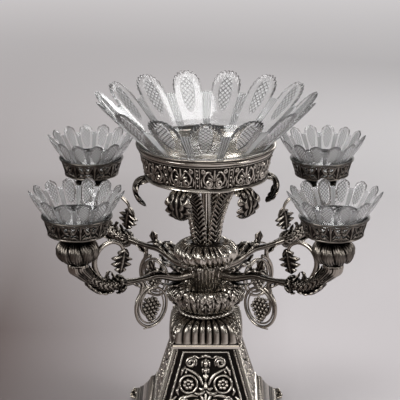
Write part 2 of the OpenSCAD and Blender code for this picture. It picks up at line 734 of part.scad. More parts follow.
// Pierced frame of a small dish: a flared band with windows, a rim and a floor with a hub
function dish_radius(t) = mix(dish_foot_r, dish_rim_r, t) - 1.2 * sin(180 * t);
module window_plan(w, h) {
    polygon([[-w / 3, 0], [w / 3, 0], [w / 2, 0.45 * h], [0, h], [-w / 2, 0.45 * h]]);
}
module dish_frame(k) {
    inside = dish_foot_r - dish_frame_wall;
    bead = 1.4;
    window_h = 0.56 * dish_frame_h;
    window_w = 0.7 * 2 * PI * dish_foot_r / windows;
    color(silver) rotate(arm_angles[k]) translate([arm_reach, 0, 0]) {
        translate([0, 0, z_dish_foot]) difference() {
            rotate_extrude() polygon([
                [inside - 2, 0], [dish_foot_r + bead, 0], [dish_foot_r + bead, 2 * bead],
                for (t = [0.2, 0.5, 0.85]) [dish_radius(t), t * dish_frame_h],
                [dish_rim_r + bead, 0.9 * dish_frame_h], [dish_rim_r + bead, dish_frame_h],
                [dish_rim_r - dish_frame_wall, dish_frame_h],
                for (t = [0.85, 0.5, 0.2]) [dish_radius(t) - dish_frame_wall, t * dish_frame_h],
                [inside - 2, z_floor - z_dish_foot]
            ]);
            for (w = [0 : windows - 1]) rotate(360 * w / windows) translate([inside - 4, 0, 0.22 * dish_frame_h])
                rotate([90, 0, 90]) linear_extrude(dish_rim_r - inside + 6) window_plan(window_w, window_h);
        }
        difference() {
            union() {
                translate([0, 0, z_dish_foot]) cylinder(r = inside - 1, h = z_floor - z_dish_foot);
                translate([0, 0, z_hub + seat]) cylinder(r = 11, h = hub_h - seat);
            }
            translate([0, 0, z_hub - 1]) cylinder(r = seat_r + fit, h = hub_h + 2);
        }
    }
}

dish_foot_ring_h = 3;
module dish(k) {
    z0 = z_floor + rest_gap + dish_foot_ring_h;
    throat = dish_rim_r - dish_frame_wall - 1.2;
    tip = z_dish_rim + dish_rise;
    color(glass) rotate(arm_angles[k]) translate([arm_reach, 0, 0]) petal_glass([
        [0.6 * throat, z0], [0.8 * throat, mix(z0, z_dish_rim, 0.3)], [0.93 * throat, mix(z0, z_dish_rim, 0.7)],
        [throat, z_dish_rim + rest_gap],
        [mix(throat, dish_r, 0.5), mix(z_dish_rim, tip, 0.46)], [dish_r, tip]
    ], dish_wall, 0.4 * throat, 0.52 * throat, dish_foot_ring_h, dish_petals, notch_share * dish_rise);
}

for (k = [0 : 3]) {
    foot(k);
    panel(k);
    branch(k);
    boss(k);
    dish_frame(k);
    dish(k);
}
for (k = [0 : palm_fronds - 1]) frond(k);
plinth();
base_cover();
pedestal();
cap_plate();
cushion();
collar();
cup();
calyx();
neck();
knop_petals();
knop();
stem_sleeve();
tie_rod();
tie_nut();
main_pan();
main_band();
main_rim();
main_bowl();
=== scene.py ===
import math
import bpy
import numpy as np
from mathutils import Matrix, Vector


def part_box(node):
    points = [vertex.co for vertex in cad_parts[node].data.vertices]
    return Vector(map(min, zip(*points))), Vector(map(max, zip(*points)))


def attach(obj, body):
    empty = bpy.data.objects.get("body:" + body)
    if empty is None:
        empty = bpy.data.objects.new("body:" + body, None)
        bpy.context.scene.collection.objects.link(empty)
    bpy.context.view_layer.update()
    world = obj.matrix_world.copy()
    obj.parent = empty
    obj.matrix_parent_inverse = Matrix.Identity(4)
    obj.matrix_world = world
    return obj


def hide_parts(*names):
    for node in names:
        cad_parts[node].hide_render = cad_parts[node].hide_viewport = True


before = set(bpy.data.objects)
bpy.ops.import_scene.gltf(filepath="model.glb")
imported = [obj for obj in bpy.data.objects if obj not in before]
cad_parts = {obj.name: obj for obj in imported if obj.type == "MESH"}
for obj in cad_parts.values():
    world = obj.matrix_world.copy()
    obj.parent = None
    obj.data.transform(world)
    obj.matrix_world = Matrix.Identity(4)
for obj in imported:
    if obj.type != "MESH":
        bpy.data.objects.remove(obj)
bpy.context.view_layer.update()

# Four feet: cast silver buns pinned up into the corners of the plinth, each with a leaf that curls up round the
# corner. The chasing is blackened with oxide in its hollows, deepened there by painted shade, and rubbed bright on
# its high points, as on all the cast silver.
mm = 0.001
stand = "pedestal_and_stem"


def smooth_line(points, count):
    """A flowing line through given points, as evenly spaced points."""
    knots = np.asarray(points, float)
    ends = np.vstack([2 * knots[0] - knots[1], knots, 2 * knots[-1] - knots[-2]])
    t = np.linspace(0, 1, 24, endpoint=False)[:, None]
    runs = [0.5 * (2 * b + (c - a) * t + (2 * a - 5 * b + 4 * c - d) * t ** 2 + (3 * b - a - 3 * c + d) * t ** 3)
            for a, b, c, d in zip(ends, ends[1:], ends[2:], ends[3:])]
    dense = np.vstack(runs + [knots[-1:]])
    walked = np.concatenate([[0], np.cumsum(np.linalg.norm(np.diff(dense, axis=0), axis=1))])
    stops = np.linspace(0, walked[-1], count)
    return np.stack([np.interp(stops, walked, axis) for axis in dense.T], axis=1)


def skin(name, points, is_open=False, crease=None):
    """A grid laid over rows of points, with its seams merged and its faces turned outward."""
    rows, columns = points.shape[:2]
    bpy.ops.object.select_all(action="DESELECT")
    bpy.ops.mesh.primitive_grid_add(x_subdivisions=columns - 1, y_subdivisions=rows - 1)
    piece = bpy.context.object
    piece.name = piece.data.name = name
    piece.data.vertices.foreach_set("co", points.astype(np.float32).ravel())
    bpy.ops.object.mode_set(mode="EDIT")
    bpy.ops.mesh.select_all(action="SELECT")
    bpy.ops.mesh.remove_doubles(threshold=2e-6)
    if not is_open:
        bpy.ops.mesh.normals_make_consistent(inside=False)
    bpy.ops.object.mode_set(mode="OBJECT")
    bpy.ops.object.shade_smooth()
    if crease:
        bpy.ops.object.shade_smooth_by_angle(angle=math.radians(crease))
    return piece


def heading(line):
    """The unit direction at each point of a line."""
    run = np.gradient(line, axis=0)
    return run / np.linalg.norm(run, axis=1, keepdims=True)


def read(values, share):
    """Values set evenly from 0 to 1, read at a share."""
    return np.interp(share, np.linspace(0, 1, len(values)), values)


def circle(columns):
    """Angles once round, as a row that meets its start."""
    return np.linspace(0, 2 * np.pi, columns + 1)[None, :]


def round_axis(radius, angle, height):
    """Rows of points at these radii, angles and heights."""
    return np.stack([radius * np.cos(angle), radius * np.sin(angle), height], axis=2)


def turned(name, profile, columns, swell=None, centre=(0, 0), crease=None):
    """A turned form of radius and height rows, with a chased swell by angle and height; off the axis it is a ring."""
    if profile[0, 0] > 0 and np.abs(profile[0] - profile[-1]).max() > 0:
        profile = np.vstack([profile, profile[:1]])
    angle = circle(columns)
    run = heading(profile)
    rise = swell(angle, profile[:, 1:]) if swell else 0 * angle
    radius, height = profile[:, :1] + run[:, 1:] * rise, profile[:, 1:] - run[:, :1] * rise
    return skin(name, round_axis(radius, angle, height) + [*centre, 0], crease=crease)


def joined(name, parts):
    """Brazes parts into one piece."""
    bpy.ops.object.select_all(action="DESELECT")
    for part in parts:
        part.select_set(True)
    bpy.context.view_layer.objects.active = parts[0]
    bpy.ops.object.join()
    parts[0].name = parts[0].data.name = name
    return parts[0]


def spots(mesh, kind="co"):
    """The places of a mesh's points, or their normals, as rows."""
    flat = np.empty(len(mesh.vertices) * 3, np.float32)
    mesh.vertices.foreach_get(kind, flat)
    return flat.reshape(-1, 3)


def tarnish(piece, depth, passes, tone_shift=0.0):
    """Marks how far points lie under the smoothed surface, where oxide stays on rubbed silver, and adds an even shift
    of tone, given as a number or as a function of place.
    """
    mesh = piece.data
    place, facing = spots(mesh), spots(mesh, "normal")
    count = len(place)
    ends = np.empty(len(mesh.edges) * 2, np.int32)
    mesh.edges.foreach_get("vertices", ends)
    start = np.concatenate([ends[0::2], ends[1::2]])
    end = np.concatenate([ends[1::2], ends[0::2]])
    links = np.maximum(np.bincount(start, minlength=count), 1)
    smooth = place
    for turn in range(passes):
        smooth = np.stack([np.bincount(start, smooth[end, axis], count) / links for axis in range(3)], axis=1)
    sunk = np.clip(0.5 * ((smooth - place) * facing).sum(axis=1) / depth, -0.5, 0.5)
    shade = np.clip(0.5 + sunk + (tone_shift(place) if callable(tone_shift) else tone_shift), 0, 1)
    layer = mesh.color_attributes.new("tarnish", "FLOAT_COLOR", "POINT")
    layer.data.foreach_set("color", np.stack([shade, shade, shade, np.ones(count)], axis=1).ravel())
    return piece


def feed(node, inputs):
    """Sets plain values on a shader node's sockets, and links other nodes' outputs to them."""
    for name, value in inputs.items():
        if isinstance(value, bpy.types.NodeSocket):
            node.id_data.links.new(value, node.inputs[name])
        else:
            node.inputs[name].default_value = value
    return node


def worked(new, operation, *values):
    """The result of a new math node on numbers and other nodes' outputs."""
    node = new("ShaderNodeMath")
    node.operation = operation
    return feed(node, dict(enumerate(values))).outputs[0]


def silver_finish(name, stops, polish, grain):
    """Silver with oxide in its hollows, and painted shade from ambient occlusion near other surfaces; stops give the
    colour from rubbed high points to the deepest hollow and shade.
    """
    material = bpy.data.materials.new(name)
    material.use_nodes = True
    tree = material.node_tree
    new = tree.nodes.new
    place = new("ShaderNodeTexCoord").outputs["Object"]
    cloud = feed(new("ShaderNodeTexNoise"), {"Vector": place, "Scale": 70, "Detail": 6})
    mark = new("ShaderNodeVertexColor")
    mark.layer_name = "tarnish"
    # Ambient occlusion darkens the colour where other surfaces are near: painted shade in recesses and between parts,
    # laid over the oxide mark.
    shade_occlusion = feed(new("ShaderNodeAmbientOcclusion"), {"Distance": 7 * mm})
    shade_occlusion.samples = 6
    painted_shade = worked(new, "MULTIPLY_ADD", shade_occlusion.outputs["AO"], -0.45, 0.45)
    wear_and_shade = worked(new, "MULTIPLY_ADD", cloud.outputs["Fac"], 0.3, painted_shade)
    # The ramp reads the oxide mark, plus random cloudy wear, plus the painted occlusion shade.
    depth = worked(new, "ADD", mark.outputs["Color"], wear_and_shade)
    colour = feed(new("ShaderNodeValToRGB"), {"Fac": depth})
    ramp = colour.color_ramp.elements
    while len(ramp) < len(stops):
        ramp.new(0.5)
    for stop, (at, tint) in zip(ramp, stops):
        stop.position = at
        stop.color = (*tint, 1)
    rough = feed(new("ShaderNodeMapRange"), {
        "Value": depth, "From Min": 0.2, "From Max": 1.1, "To Min": polish, "To Max": polish + 0.3})
    pits = feed(new("ShaderNodeTexNoise"), {"Vector": place, "Scale": 900, "Detail": 3})
    bump = feed(new("ShaderNodeBump"), {"Height": pits.outputs["Fac"], "Strength": grain, "Distance": 0.3 * mm})
    feed(tree.nodes["Principled BSDF"], {
        "Metallic": 1, "Base Color": colour.outputs["Color"], "Roughness": rough.outputs["Result"],
        "Normal": bump.outputs["Normal"]})
    return material


finishes = {
    "chased_silver": silver_finish("chased_silver_finish", [
        (0.12, (0.68, 0.63, 0.56)), (0.5, (0.33, 0.295, 0.255)), (0.72, (0.08, 0.068, 0.058)),
        (0.95, (0.012, 0.01, 0.009))], 0.16, 0.2),
    "bright_silver": silver_finish("bright_silver_finish", [
        (0.2, (0.74, 0.69, 0.62)), (0.6, (0.46, 0.42, 0.37)), (0.85, (0.15, 0.13, 0.115)),
        (1.0, (0.03, 0.026, 0.022))], 0.13, 0.12)}


def coat(finish, *pieces):
    """Gives pieces or shown nodes a finish in place of any other."""
    for piece in pieces:
        piece.data.materials.clear()
        piece.data.materials.append(finish)


def dress(piece, body, slot, *nodes):
    """Gives a finished piece its metal or glass, its place in the assembly and the nodes it stands for."""
    coat(finishes[slot], piece)
    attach(piece, body)
    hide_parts(*nodes)


def capped(loop, poles=None):
    """Rows of points closed by a pole at each end: the given points, or else the middles of the end rows."""
    first, last = (loop[0].mean(axis=0), loop[-1].mean(axis=0)) if poles is None else poles
    return np.concatenate([0 * loop[:1] + first, loop, 0 * loop[:1] + last])


def blade(name, spine, across, widths, thicks, face=None, back=None, teeth=(0, 0), columns=17, lean=0.0):
    """A leaf: a closed strap along a line, with half widths and thicknesses in millimetres read along it.

    Its two sides are modelled by along and side shares, teeth are the count and depth of its lobes, and lean draws
    the lobes toward the tip.
    """
    along = np.linspace(0, 1, len(spine))[:, None]
    side = np.linspace(-1, 1, columns)[None, :]
    across = np.broadcast_to(across, spine.shape)
    out = np.cross(heading(spine), across)
    out /= np.linalg.norm(out, axis=1, keepdims=True)
    wide = read(widths, along) * mm
    if teeth[0]:
        wide = wide * (1 - teeth[1] * (1 - np.abs(np.sin(np.pi * teeth[0] * along)) ** 0.6))
    thick = read(thicks, along) * mm * np.sqrt(1 - 0.96 * side ** 2)
    upper = thick + (face(along, side) if face else 0)
    lower = (back(along, side) if back else 0) - thick
    at = along + lean * np.abs(side) ** 1.5 * np.sin(np.pi * along)
    base, sideways, outward = (np.stack([np.interp(at, along[:, 0], axis) for axis in line.T], axis=2)
        for line in (spine, across, out))
    loop = np.concatenate([base + sideways * (wide * shift)[..., None] + outward * height[..., None]
        for shift, height in ((side, upper), (side[:, ::-1], lower[:, ::-1]))], axis=1)
    return skin(name, capped(np.concatenate([loop, loop[:, :1]], axis=1)))


def veined(width, ribs, cup=0.0):
    """Leaf modelling: a midrib, slanting ribs and a cupped edge, for a leaf of this half width."""
    def face(along, side):
        rib = np.exp(-(side / 0.13) ** 2)
        slant = 0.5 + 0.5 * np.cos(2 * np.pi * ribs * (along - 0.12 * np.abs(side)))
        fade = np.sin(np.pi * np.clip(along, 0, 1)) ** 0.4
        return width * fade * (0.13 * rib + 0.13 * slant * np.abs(side) ** 0.6 + cup * side ** 2)
    return face


def placed(piece, name, swing, reach=0.0):
    """A copy of a piece with its own mesh, moved out by reach and turned round the axis."""
    copy = piece.copy()
    copy.data = piece.data.copy()
    bpy.context.collection.objects.link(copy)
    copy.data.transform(Matrix.Rotation(swing, 4, "Z") @ Matrix.Translation((reach, 0, 0)))
    copy.name = copy.data.name = name
    return copy


def ringed(name, piece, angles):
    """Copies of a piece set round the axis and brazed together."""
    copies = [placed(piece, name, angle) for angle in angles]
    bpy.data.objects.remove(piece)
    return joined(name, copies)


def flat_line(points, count):
    """A line drawn in radius and height, set in the plane of the X axis."""
    line = smooth_line(np.asarray(points, float) * mm, count)
    return np.column_stack([line[:, 0], 0 * line[:, 0], line[:, 1]])


foot_reach, foot_radius, foot_height = 134 * mm, 14 * mm, 10 * mm
foot_shape = smooth_line([(0.0, 0.0), (0.5, 0.0), (0.7, 0.02), (0.9, 0.16), (0.98, 0.42), (0.9, 0.68), (0.64, 0.86),
    (0.58, 0.92), (0.66, 0.99), (0.4, 1.0), (0.0, 1.0)], 30) * [foot_radius, foot_height]


def foot_swell(a, z):
    return 1.2 * mm * (np.abs(np.sin(6 * a)) - 0.7) * np.sin(np.pi * z / foot_height) ** 2


for k in range(1, 5):
    bun = turned("bun", foot_shape, 96, foot_swell, (foot_reach, 0))
    foot_leaf = blade("foot_leaf",
        flat_line([(141, 4), (149, 3), (155.5, 4), (159.5, 7.5), (159.5, 11), (161, 14)], 50), (0, 1, 0),
        [7, 11, 14, 13, 9, 2], [2, 1.8, 1.6, 0.8], veined(12 * mm, 5), None, (5, 0.3))
    foot = ringed(f"leaf_foot_{k}", joined("foot", [bun, foot_leaf]), [math.radians(90 * k - 45)])
    dress(tarnish(foot, 0.3 * mm, 8), stand, "chased_silver", f"foot_{k}")

# The plinth: a stepped square of stamped mouldings, with a sloping course of upright eggs under the pedestal. It is
# hollow, and a flat blackened cover closes it from below, round the head of the tie rod.
plinth_edges = np.array([(71, 12.4), (71, 10), (108.2, 10), (108.9, 10.5), (109, 11.4), (109, 15.4), (108.6, 16.5),
    (107.4, 17), (105, 17.4), (103.4, 17.9), (103.1, 18.6), (103.9, 19.3), (104, 20.2), (103.2, 21.1), (101.8, 21.7),
    (100.9, 22.3), (100.2, 23.6), (98.8, 24.6), (98, 25.4), (97.5, 26.2), (97.3, 26.6), (90.6, 35.4), (89.4, 36.8),
    (89.2, 37.4), (89.5, 38), (89, 38.7), (87.9, 39)])
egg_course = np.column_stack([np.linspace(87.6, 79, 26), np.linspace(39.2, 51, 26)])
plinth_top = np.array([(78.7, 51.4), (79, 52), (78.6, 52.8), (77.6, 53.2), (77, 53.6), (77, 56.6), (76.6, 57),
    (40, 57)])
rows = np.vstack([plinth_edges, egg_course, plinth_top])
rise = np.concatenate([np.zeros(len(plinth_edges)), np.linspace(0, 1, 26), np.zeros(len(plinth_top))])[:, None]
egg_count = 24
side = np.linspace(-1, 1, 8 * egg_count + 1)[None, :-1]
step = egg_count / 2 * side + 0.5
gap = np.abs(step - np.round(step))
eggs = 3.2 * np.sqrt(np.maximum(1 - ((rise - 0.54) / 0.44) ** 2 - (gap / 0.36) ** 2, 0))
husks = 1.5 * np.exp(-((gap - 0.47) / 0.07) ** 2) * np.sin(np.pi * rise)
swell = np.where((rise > 0) & (rise < 1), np.maximum(eggs, husks), 0) * np.clip((1 - np.abs(side)) * 40, 0, 1)
out, up = rows[:, :1] + 0.81 * swell, rows[:, 1:] + 0.59 * swell
along = rows[:, :1] * side
quarters = [np.stack([along * c + out * s, along * s - out * c, up], axis=2)
            for c, s in ((1, 0), (0, 1), (-1, 0), (0, -1))]
ring = np.concatenate(quarters + [quarters[0][:, :1]], axis=1) * mm
plinth = skin("moulded_plinth", np.concatenate([ring[:1] * [0, 0, 1], ring, ring[-1:] * [0, 0, 1]]), crease=40)
dress(tarnish(plinth, 0.5 * mm, 8), stand, "chased_silver", "plinth")
blackened = silver_finish("blackened_metal",
    [(0.1, (0.3, 0.28, 0.26)), (0.5, (0.16, 0.15, 0.14)), (0.8, (0.07, 0.065, 0.06)), (1.0, (0.02, 0.02, 0.02))],
    0.42, 0.4)
coat(blackened, bpy.data.objects["base_cover"], bpy.data.objects["tie_rod"])

# The pedestal: four leaning faces cast in silver and mitred at the corners. Each has a smooth bright strip up its
# sides, a bead course, a deep channel blackened with oxide and painted shade, and a bright frame round scrolls,
# roundels and a bell-flower drop.
# The cap plate closes its top.
face_slope, bead_pitch, bead_radius, stroke_scale = 0.292, 3.3, 1.3, 1.7
lean = math.atan(face_slope)
low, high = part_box("pedestal")
pedestal_foot, face_foot, face_length = low.z, high.x, (high.z - low.z) / math.cos(lean)


def coil(centre, radius, turns, start, tight, count=60):
    """A volute that winds inward from a start angle, to a share of its first radius."""
    t = np.linspace(0, 1, count)
    swing = math.radians(start) + 2 * np.pi * turns * t
    reach = radius * (1 - (1 - tight) * t)
    return np.column_stack([centre[0] + reach * np.cos(swing), centre[1] + reach * np.sin(swing)])


def drawn(points, widths, count=None):
    """A drawn stroke: a smooth line and its half width at each of its points."""
    points = np.asarray(points, float)
    line = smooth_line(points, count or 8 * len(points)) if len(points) > 1 else points
    return line, read(widths, np.linspace(0, 1, len(line)))


def raised(x, y, strokes):
    """Height of rounded relief along drawn strokes, each mirrored in the middle line; all in millimetres."""
    height = np.zeros_like(x)
    for line, widths in strokes:
        for (px, py), w in zip(line, widths):
            far = w * w - (np.abs(x) - px) ** 2 - (y - py) ** 2
            height = np.maximum(height, np.sqrt(np.maximum(far, 0)))
    return height


def flower(centre, petals, reach, size):
    """Strokes of a rosette: petals round an eye."""
    return [drawn([centre], [0.9 * size])] + [
        drawn([(centre[0] + 0.6 * reach * math.cos(q), centre[1] + 0.6 * reach * math.sin(q)),
               (centre[0] + reach * math.cos(q), centre[1] + reach * math.sin(q))], [0.6 * size, size])
        for q in np.arange(petals) * 2 * math.pi / petals + 0.3]


panel_strokes = [drawn(*stroke) for stroke in [
    ([(0, 11)], [2.0]),
    ([(0.5, 14.5), (4, 12.2), (8, 14.4)], [1.0, 1.5, 0.6]),
    (coil((21.5, 21), 8.0, 1.6, 150, 0.3), [1.1, 1.5, 1.7, 1.9]),
    ([(10, 15), (15, 12.5), (20, 12.4)], [0.6, 1.4, 0.9]),
    ([(0, 17), (0, 24), (0, 29)], [1.6, 2.6, 1.2]),
    ([(1.5, 17), (4.6, 21), (5.6, 26.5)], [1.0, 1.7, 0.8]),
    ([(0, 28), (0, 34), (0, 38)], [1.3, 2.2, 1.0]),
    ([(1.3, 28), (3.6, 31), (4.4, 36)], [0.9, 1.4, 0.7]),
    ([(0, 38), (0, 43), (0, 48)], [1.2, 2.0, 1.0]),
    ([(1, 38), (2.6, 41), (3.2, 45)], [0.8, 1.2, 0.6]),
    ([(31, 29), (24, 32.5), (14, 38), (8, 45), (4.5, 53)], [0.6, 1.2, 1.5, 1.6, 1.3]),
    ([(30, 27), (34, 33), (36, 40)], [0.6, 1.6, 0.7]),
    ([(27, 31), (29, 36)], [0.6, 1.2]),
    (coil((25.3, 53), 12.8, 1, 0, 1, 90), [1.2, 1.2]),
    (coil((25.3, 53), 10.4, 1, 0, 1, 60), [0.5, 0.5]),
    ([(0, 52), (0, 57)], [1.6, 2.4]),
    ([(1, 58), (5, 60.5), (9.5, 59)], [1.2, 1.7, 0.9]),
    ([(1, 62), (5, 66), (11, 67.5), (17, 65.8)], [1.3, 1.8, 1.6, 0.8]),
    ([(39.5, 57), (42, 63), (40, 69)], [0.6, 1.5, 0.6]),
    ([(12, 71), (20, 69.5), (29, 72), (36, 78)], [0.9, 1.6, 1.7, 1.0]),
    (coil((32, 79), 7.6, 1.5, 250, 0.3), [1.1, 1.5, 1.8]),
    ([(14, 75), (19, 79), (22, 84)], [0.7, 1.6, 0.7]),
    ([(44, 72), (49, 77), (49, 83)], [0.7, 1.7, 0.7])]]
panel_strokes += flower((25.3, 53), 7, 5.6, 2.0)
panel_strokes += [drawn([(0, 85), (8 * math.sin(q), 85 - 8 * math.cos(q)),
    (15 * math.sin(q), 85 - 17 * math.cos(q) * (1 - 0.2 * q))], [0.9, 1.9, 1.5]) for q in np.radians((0, 26, 52, 78))]
u, v = np.meshgrid(np.linspace(-1, 1, 189), np.linspace(0, 1, 141))
panel_y = v * face_length
panel_half = face_foot - math.sin(lean) * panel_y
panel_x = u * panel_half
from_side = (panel_half - np.abs(panel_x)) * math.cos(lean) / mm
from_end = np.minimum(panel_y, face_length - panel_y) / mm
panel_h = np.interp(from_side, [0, 0.8, 5.2, 5.6, 9.0, 9.4], [0, 0.7, 0.7, -0.3, -0.3, -2.2])
bead_run = panel_y / mm / bead_pitch
bead = bead_radius ** 2 - (from_side - 7.3) ** 2 - (bead_pitch * (bead_run - np.round(bead_run))) ** 2
panel_h += np.where(from_side < 9, 1.1 * np.sqrt(np.maximum(bead, 0)), 0)
inward = np.minimum(from_side - 9.1, 1.3 * from_end)
panel_h = np.where(inward > 0, np.interp(inward, [0, 6.3, 6.8, 8.8, 9.4], [-2.2, -2.2, 0.6, 0.6, -1.6]), panel_h)
carving = raised(panel_x / mm, (face_length - panel_y) / mm,
    [(line, stroke_scale * widths) for line, widths in panel_strokes])
panel_h = np.where((inward > 9.2) & (carving > 0.15), -1.6 + 1.5 * carving, panel_h) * mm
front = np.stack([panel_x, -(face_foot - panel_y * math.sin(lean) + panel_h * math.cos(lean)),
    pedestal_foot + panel_y * math.cos(lean) + panel_h * math.sin(lean)], axis=2)
behind = np.stack([0.93 * panel_x[:, [-1, 0]], -(face_foot - panel_y[:, [-1, 0]] * math.sin(lean) - 5 * mm),
    pedestal_foot + panel_y[:, [-1, 0]] * math.cos(lean)], axis=2)
panel = skin("chased_face", capped(np.concatenate([front, behind, front[:, :1]], axis=1)))


def ground_oxide_and_shade(place):
    """Black oxide and painted shade on the sunk ground and channel of a panel, darker with its depth under the face.
    """
    depth = (face_foot + place[:, 1]) * math.cos(lean) - (place[:, 2] - pedestal_foot) * math.sin(lean)
    return np.interp(depth / mm, [0.8, 1, 1.8, 2], [0, 0.3, 0.3, 0.5])


tarnish(panel, 0.45 * mm, 12, ground_oxide_and_shade)
for k in range(1, 5):
    face = placed(panel, f"chased_face_{k}", (k - 1) * math.pi / 2)
    dress(face, stand, "chased_silver", *([f"panel_{k}"] + (["pedestal"] if k == 1 else [])))
bpy.data.objects.remove(panel)
coat(finishes["bright_silver"], bpy.data.objects["cap_plate"])

# The square cushion: raised in sheet with fat gadroons that fan up to the collar, and a leaf over each corner. It
# sits on the cap plate and carries the round stem.
low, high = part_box("cushion")
cushion_half, cushion_foot, cushion_height = 51.5 * mm, low.z, high.z - low.z
collar_radius = 37 * mm


def rounded_square(angle, power):
    return (np.abs(np.cos(angle)) ** power + np.abs(np.sin(angle)) ** power) ** (-1 / power)


angle = circle(576)
rows = smooth_line([(0.8, 0.0, 0, 0), (0.92, 0.01, 0.5, 0), (0.985, 0.07, 1, 0), (1.0, 0.2, 1, 0), (1.0, 0.42, 1, 0),
    (0.98, 0.64, 1, 0.2), (0.93, 0.83, 0.9, 0.6), (0.84, 0.94, 0.6, 0.9), (0.72, 0.985, 0.3, 1), (0.6, 1.0, 0.1, 1)],
    56)
cushion_gadroons = 32
gadroon = np.abs(np.sin(cushion_gadroons / 2 * angle)) ** 0.75 - 0.3
power = np.interp(rows[:, 1], [0, 0.6, 0.9, 1], [7, 6, 4, 2])[:, None]
grown = cushion_half * rows[:, :1] * rounded_square(angle, power) + 4.2 * mm * rows[:, 2:3] * gadroon
lifted = cushion_foot + cushion_height * (rows[:, 1:2] + 0 * angle) + 3.2 * mm * rows[:, 3:] * (gadroon - 0.7)
points = round_axis(grown, angle, lifted)
cushion = skin("gadrooned_cushion", np.concatenate([points[:1] * [0, 0, 1], points, points[-1:] * [0, 0, 1]]))
corner_leaf = blade("corner_leaf",
    flat_line([(47, 184.5), (57, 183), (64.5, 176), (68, 166), (68.5, 157), (70.5, 152.5)], 46), (0, 1, 0),
    [3, 6, 7, 6.5, 4.5, 1.5], [1.5, 1.5, 1.3, 1], veined(7 * mm, 6), None, (6, 0.3))
corner_leaves = ringed("corner_leaves", corner_leaf, np.radians((45, 135, 225, 315)))
dress(tarnish(joined("gadrooned_cushion", [cushion, corner_leaves]), 0.7 * mm, 10), stand, "chased_silver", "cushion")

# The collar between cushion and cup: a turned ring of bright silver with a garland of small leaves round its edge. It
# stands on the cushion, clamped by the tie rod.
low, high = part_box("collar")
collar_foot, collar_height = low.z, high.z - low.z
collar_shape = smooth_line([(0.5, 0.0), (0.98, 0.0), (1.03, 0.16), (1.05, 0.36), (1.03, 0.56), (0.95, 0.68),
    (0.93, 0.84), (0.95, 1.0), (0.5, 1.0)], 34) * [collar_radius, collar_height] + [0, collar_foot]


def garland_swell(a, z):
    rise = z - collar_foot
    return 1.7 * mm * np.abs(np.sin(18 * a + 500 * rise)) * np.exp(-(rise / collar_height - 0.36) ** 2 / 0.05)


garland = turned("garland_collar", collar_shape, 432, garland_swell)
dress(tarnish(garland, 0.25 * mm, 8), stand, "bright_silver", "collar")

# The gadrooned cup: fat upright lobes under the calyx, with a small shell leaf at the middle of each side. It is
# raised in silver and chased, and stands on the collar.
low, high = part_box("cup")
cup_foot, cup_height, cup_lobes = low.z, high.z - low.z, 30
cup_shape = smooth_line([(20, 0.0), (34.4, 0.0), (37, 0.06), (40.5, 0.3), (43.5, 0.62), (45, 0.9), (44.5, 1.0),
    (20, 1.0)], 40) * [mm, cup_height] + [0, cup_foot]


def cup_swell(a, z):
    rise = np.clip((z - cup_foot) / cup_height, 0, 1)
    lobe = np.abs(np.sin(cup_lobes * a / 2)) ** 0.7 - 0.25
    return 4.2 * mm * lobe * np.clip(4 * np.sin(np.pi * rise), 0, 1)


cup = turned("gadrooned_cup", cup_shape, cup_lobes * 14, cup_swell)
boss_leaf = blade("cup_leaf", flat_line([(45, 214), (50, 212), (51, 206), (48, 200), (43, 196.5), (39, 195.5)], 40),
    (0, 1, 0), [3, 5, 6.5, 6, 4, 1], [1.6, 1.6, 1.2, 0.8], veined(8 * mm, 4), None, (4, 0.3))
cup = joined("gadrooned_cup", [cup, ringed("cup_leaves", boss_leaf, np.radians((0, 90, 180, 270)))])
dress(tarnish(cup, 0.7 * mm, 10, tone_shift=0.26), stand, "chased_silver", "cup")

# The calyx: two tiers of acanthus leaves, cast and chased, that open over the cup and droop at their tips, and a
# broad pleated leaf under the root of each branch. It lies on the cup, round the tie rod.
calyx_dish = turned("calyx_dish",
    np.array([(6, 216), (38, 216), (45, 219), (46, 221), (38, 220.4), (26, 219.2), (6, 219.2)]) * mm, 96)
upper_leaf = blade("upper_leaf",
    flat_line([(26, 219.5), (34, 221.5), (42, 226), (47, 228), (50.5, 226), (51.5, 220), (50, 215)], 38), (0, 1, 0),
    [5, 7, 10, 11.5, 11, 8, 1.5], [1, 1, 0.9, 0.6], veined(12 * mm, 4, 0.15), None, (4, 0.25), 17, 0.1)
under_leaf = blade("under_leaf",
    flat_line([(36, 216.5), (42, 219.5), (47, 222), (49.5, 219), (50, 212), (48.5, 206.5)], 34), (0, 1, 0),
    [6, 8, 10.5, 10, 6.5, 1.5], [1, 1, 0.9, 0.6], veined(11 * mm, 3, 0.15), None, (3, 0.25), 17, 0.1)


def root_pleats(along, side):
    return mm * (4 * side ** 2 - 2.2 * np.abs(np.cos(3.5 * np.pi * side))) * np.sin(np.pi * along) ** 0.3


root_leaf = blade("root_leaf",
    flat_line([(21, 220), (26, 226), (33, 231.5), (42, 235), (52, 236.5), (60, 234), (66, 227), (68, 218)], 60),
    (0, -1, 0), [8, 11, 14, 16, 16.5, 15, 11, 3], [1.6, 1.6, 1.4, 0.8], root_pleats, root_pleats, (5, 0.25), 43, 0.15)
calyx_leaves = 14
petal_angles = np.arange(calyx_leaves) * 2 * math.pi / calyx_leaves - math.pi / 2
arm_angles = np.radians((40, 140, 220, 320))
calyx = joined("leaf_calyx",
    [calyx_dish, ringed("upper_leaves", upper_leaf, petal_angles),
    ringed("under_leaves", under_leaf, petal_angles + math.pi / calyx_leaves),
    ringed("root_leaves", root_leaf, arm_angles)])
dress(tarnish(calyx, 0.5 * mm, 8), stand, "chased_silver", "calyx")

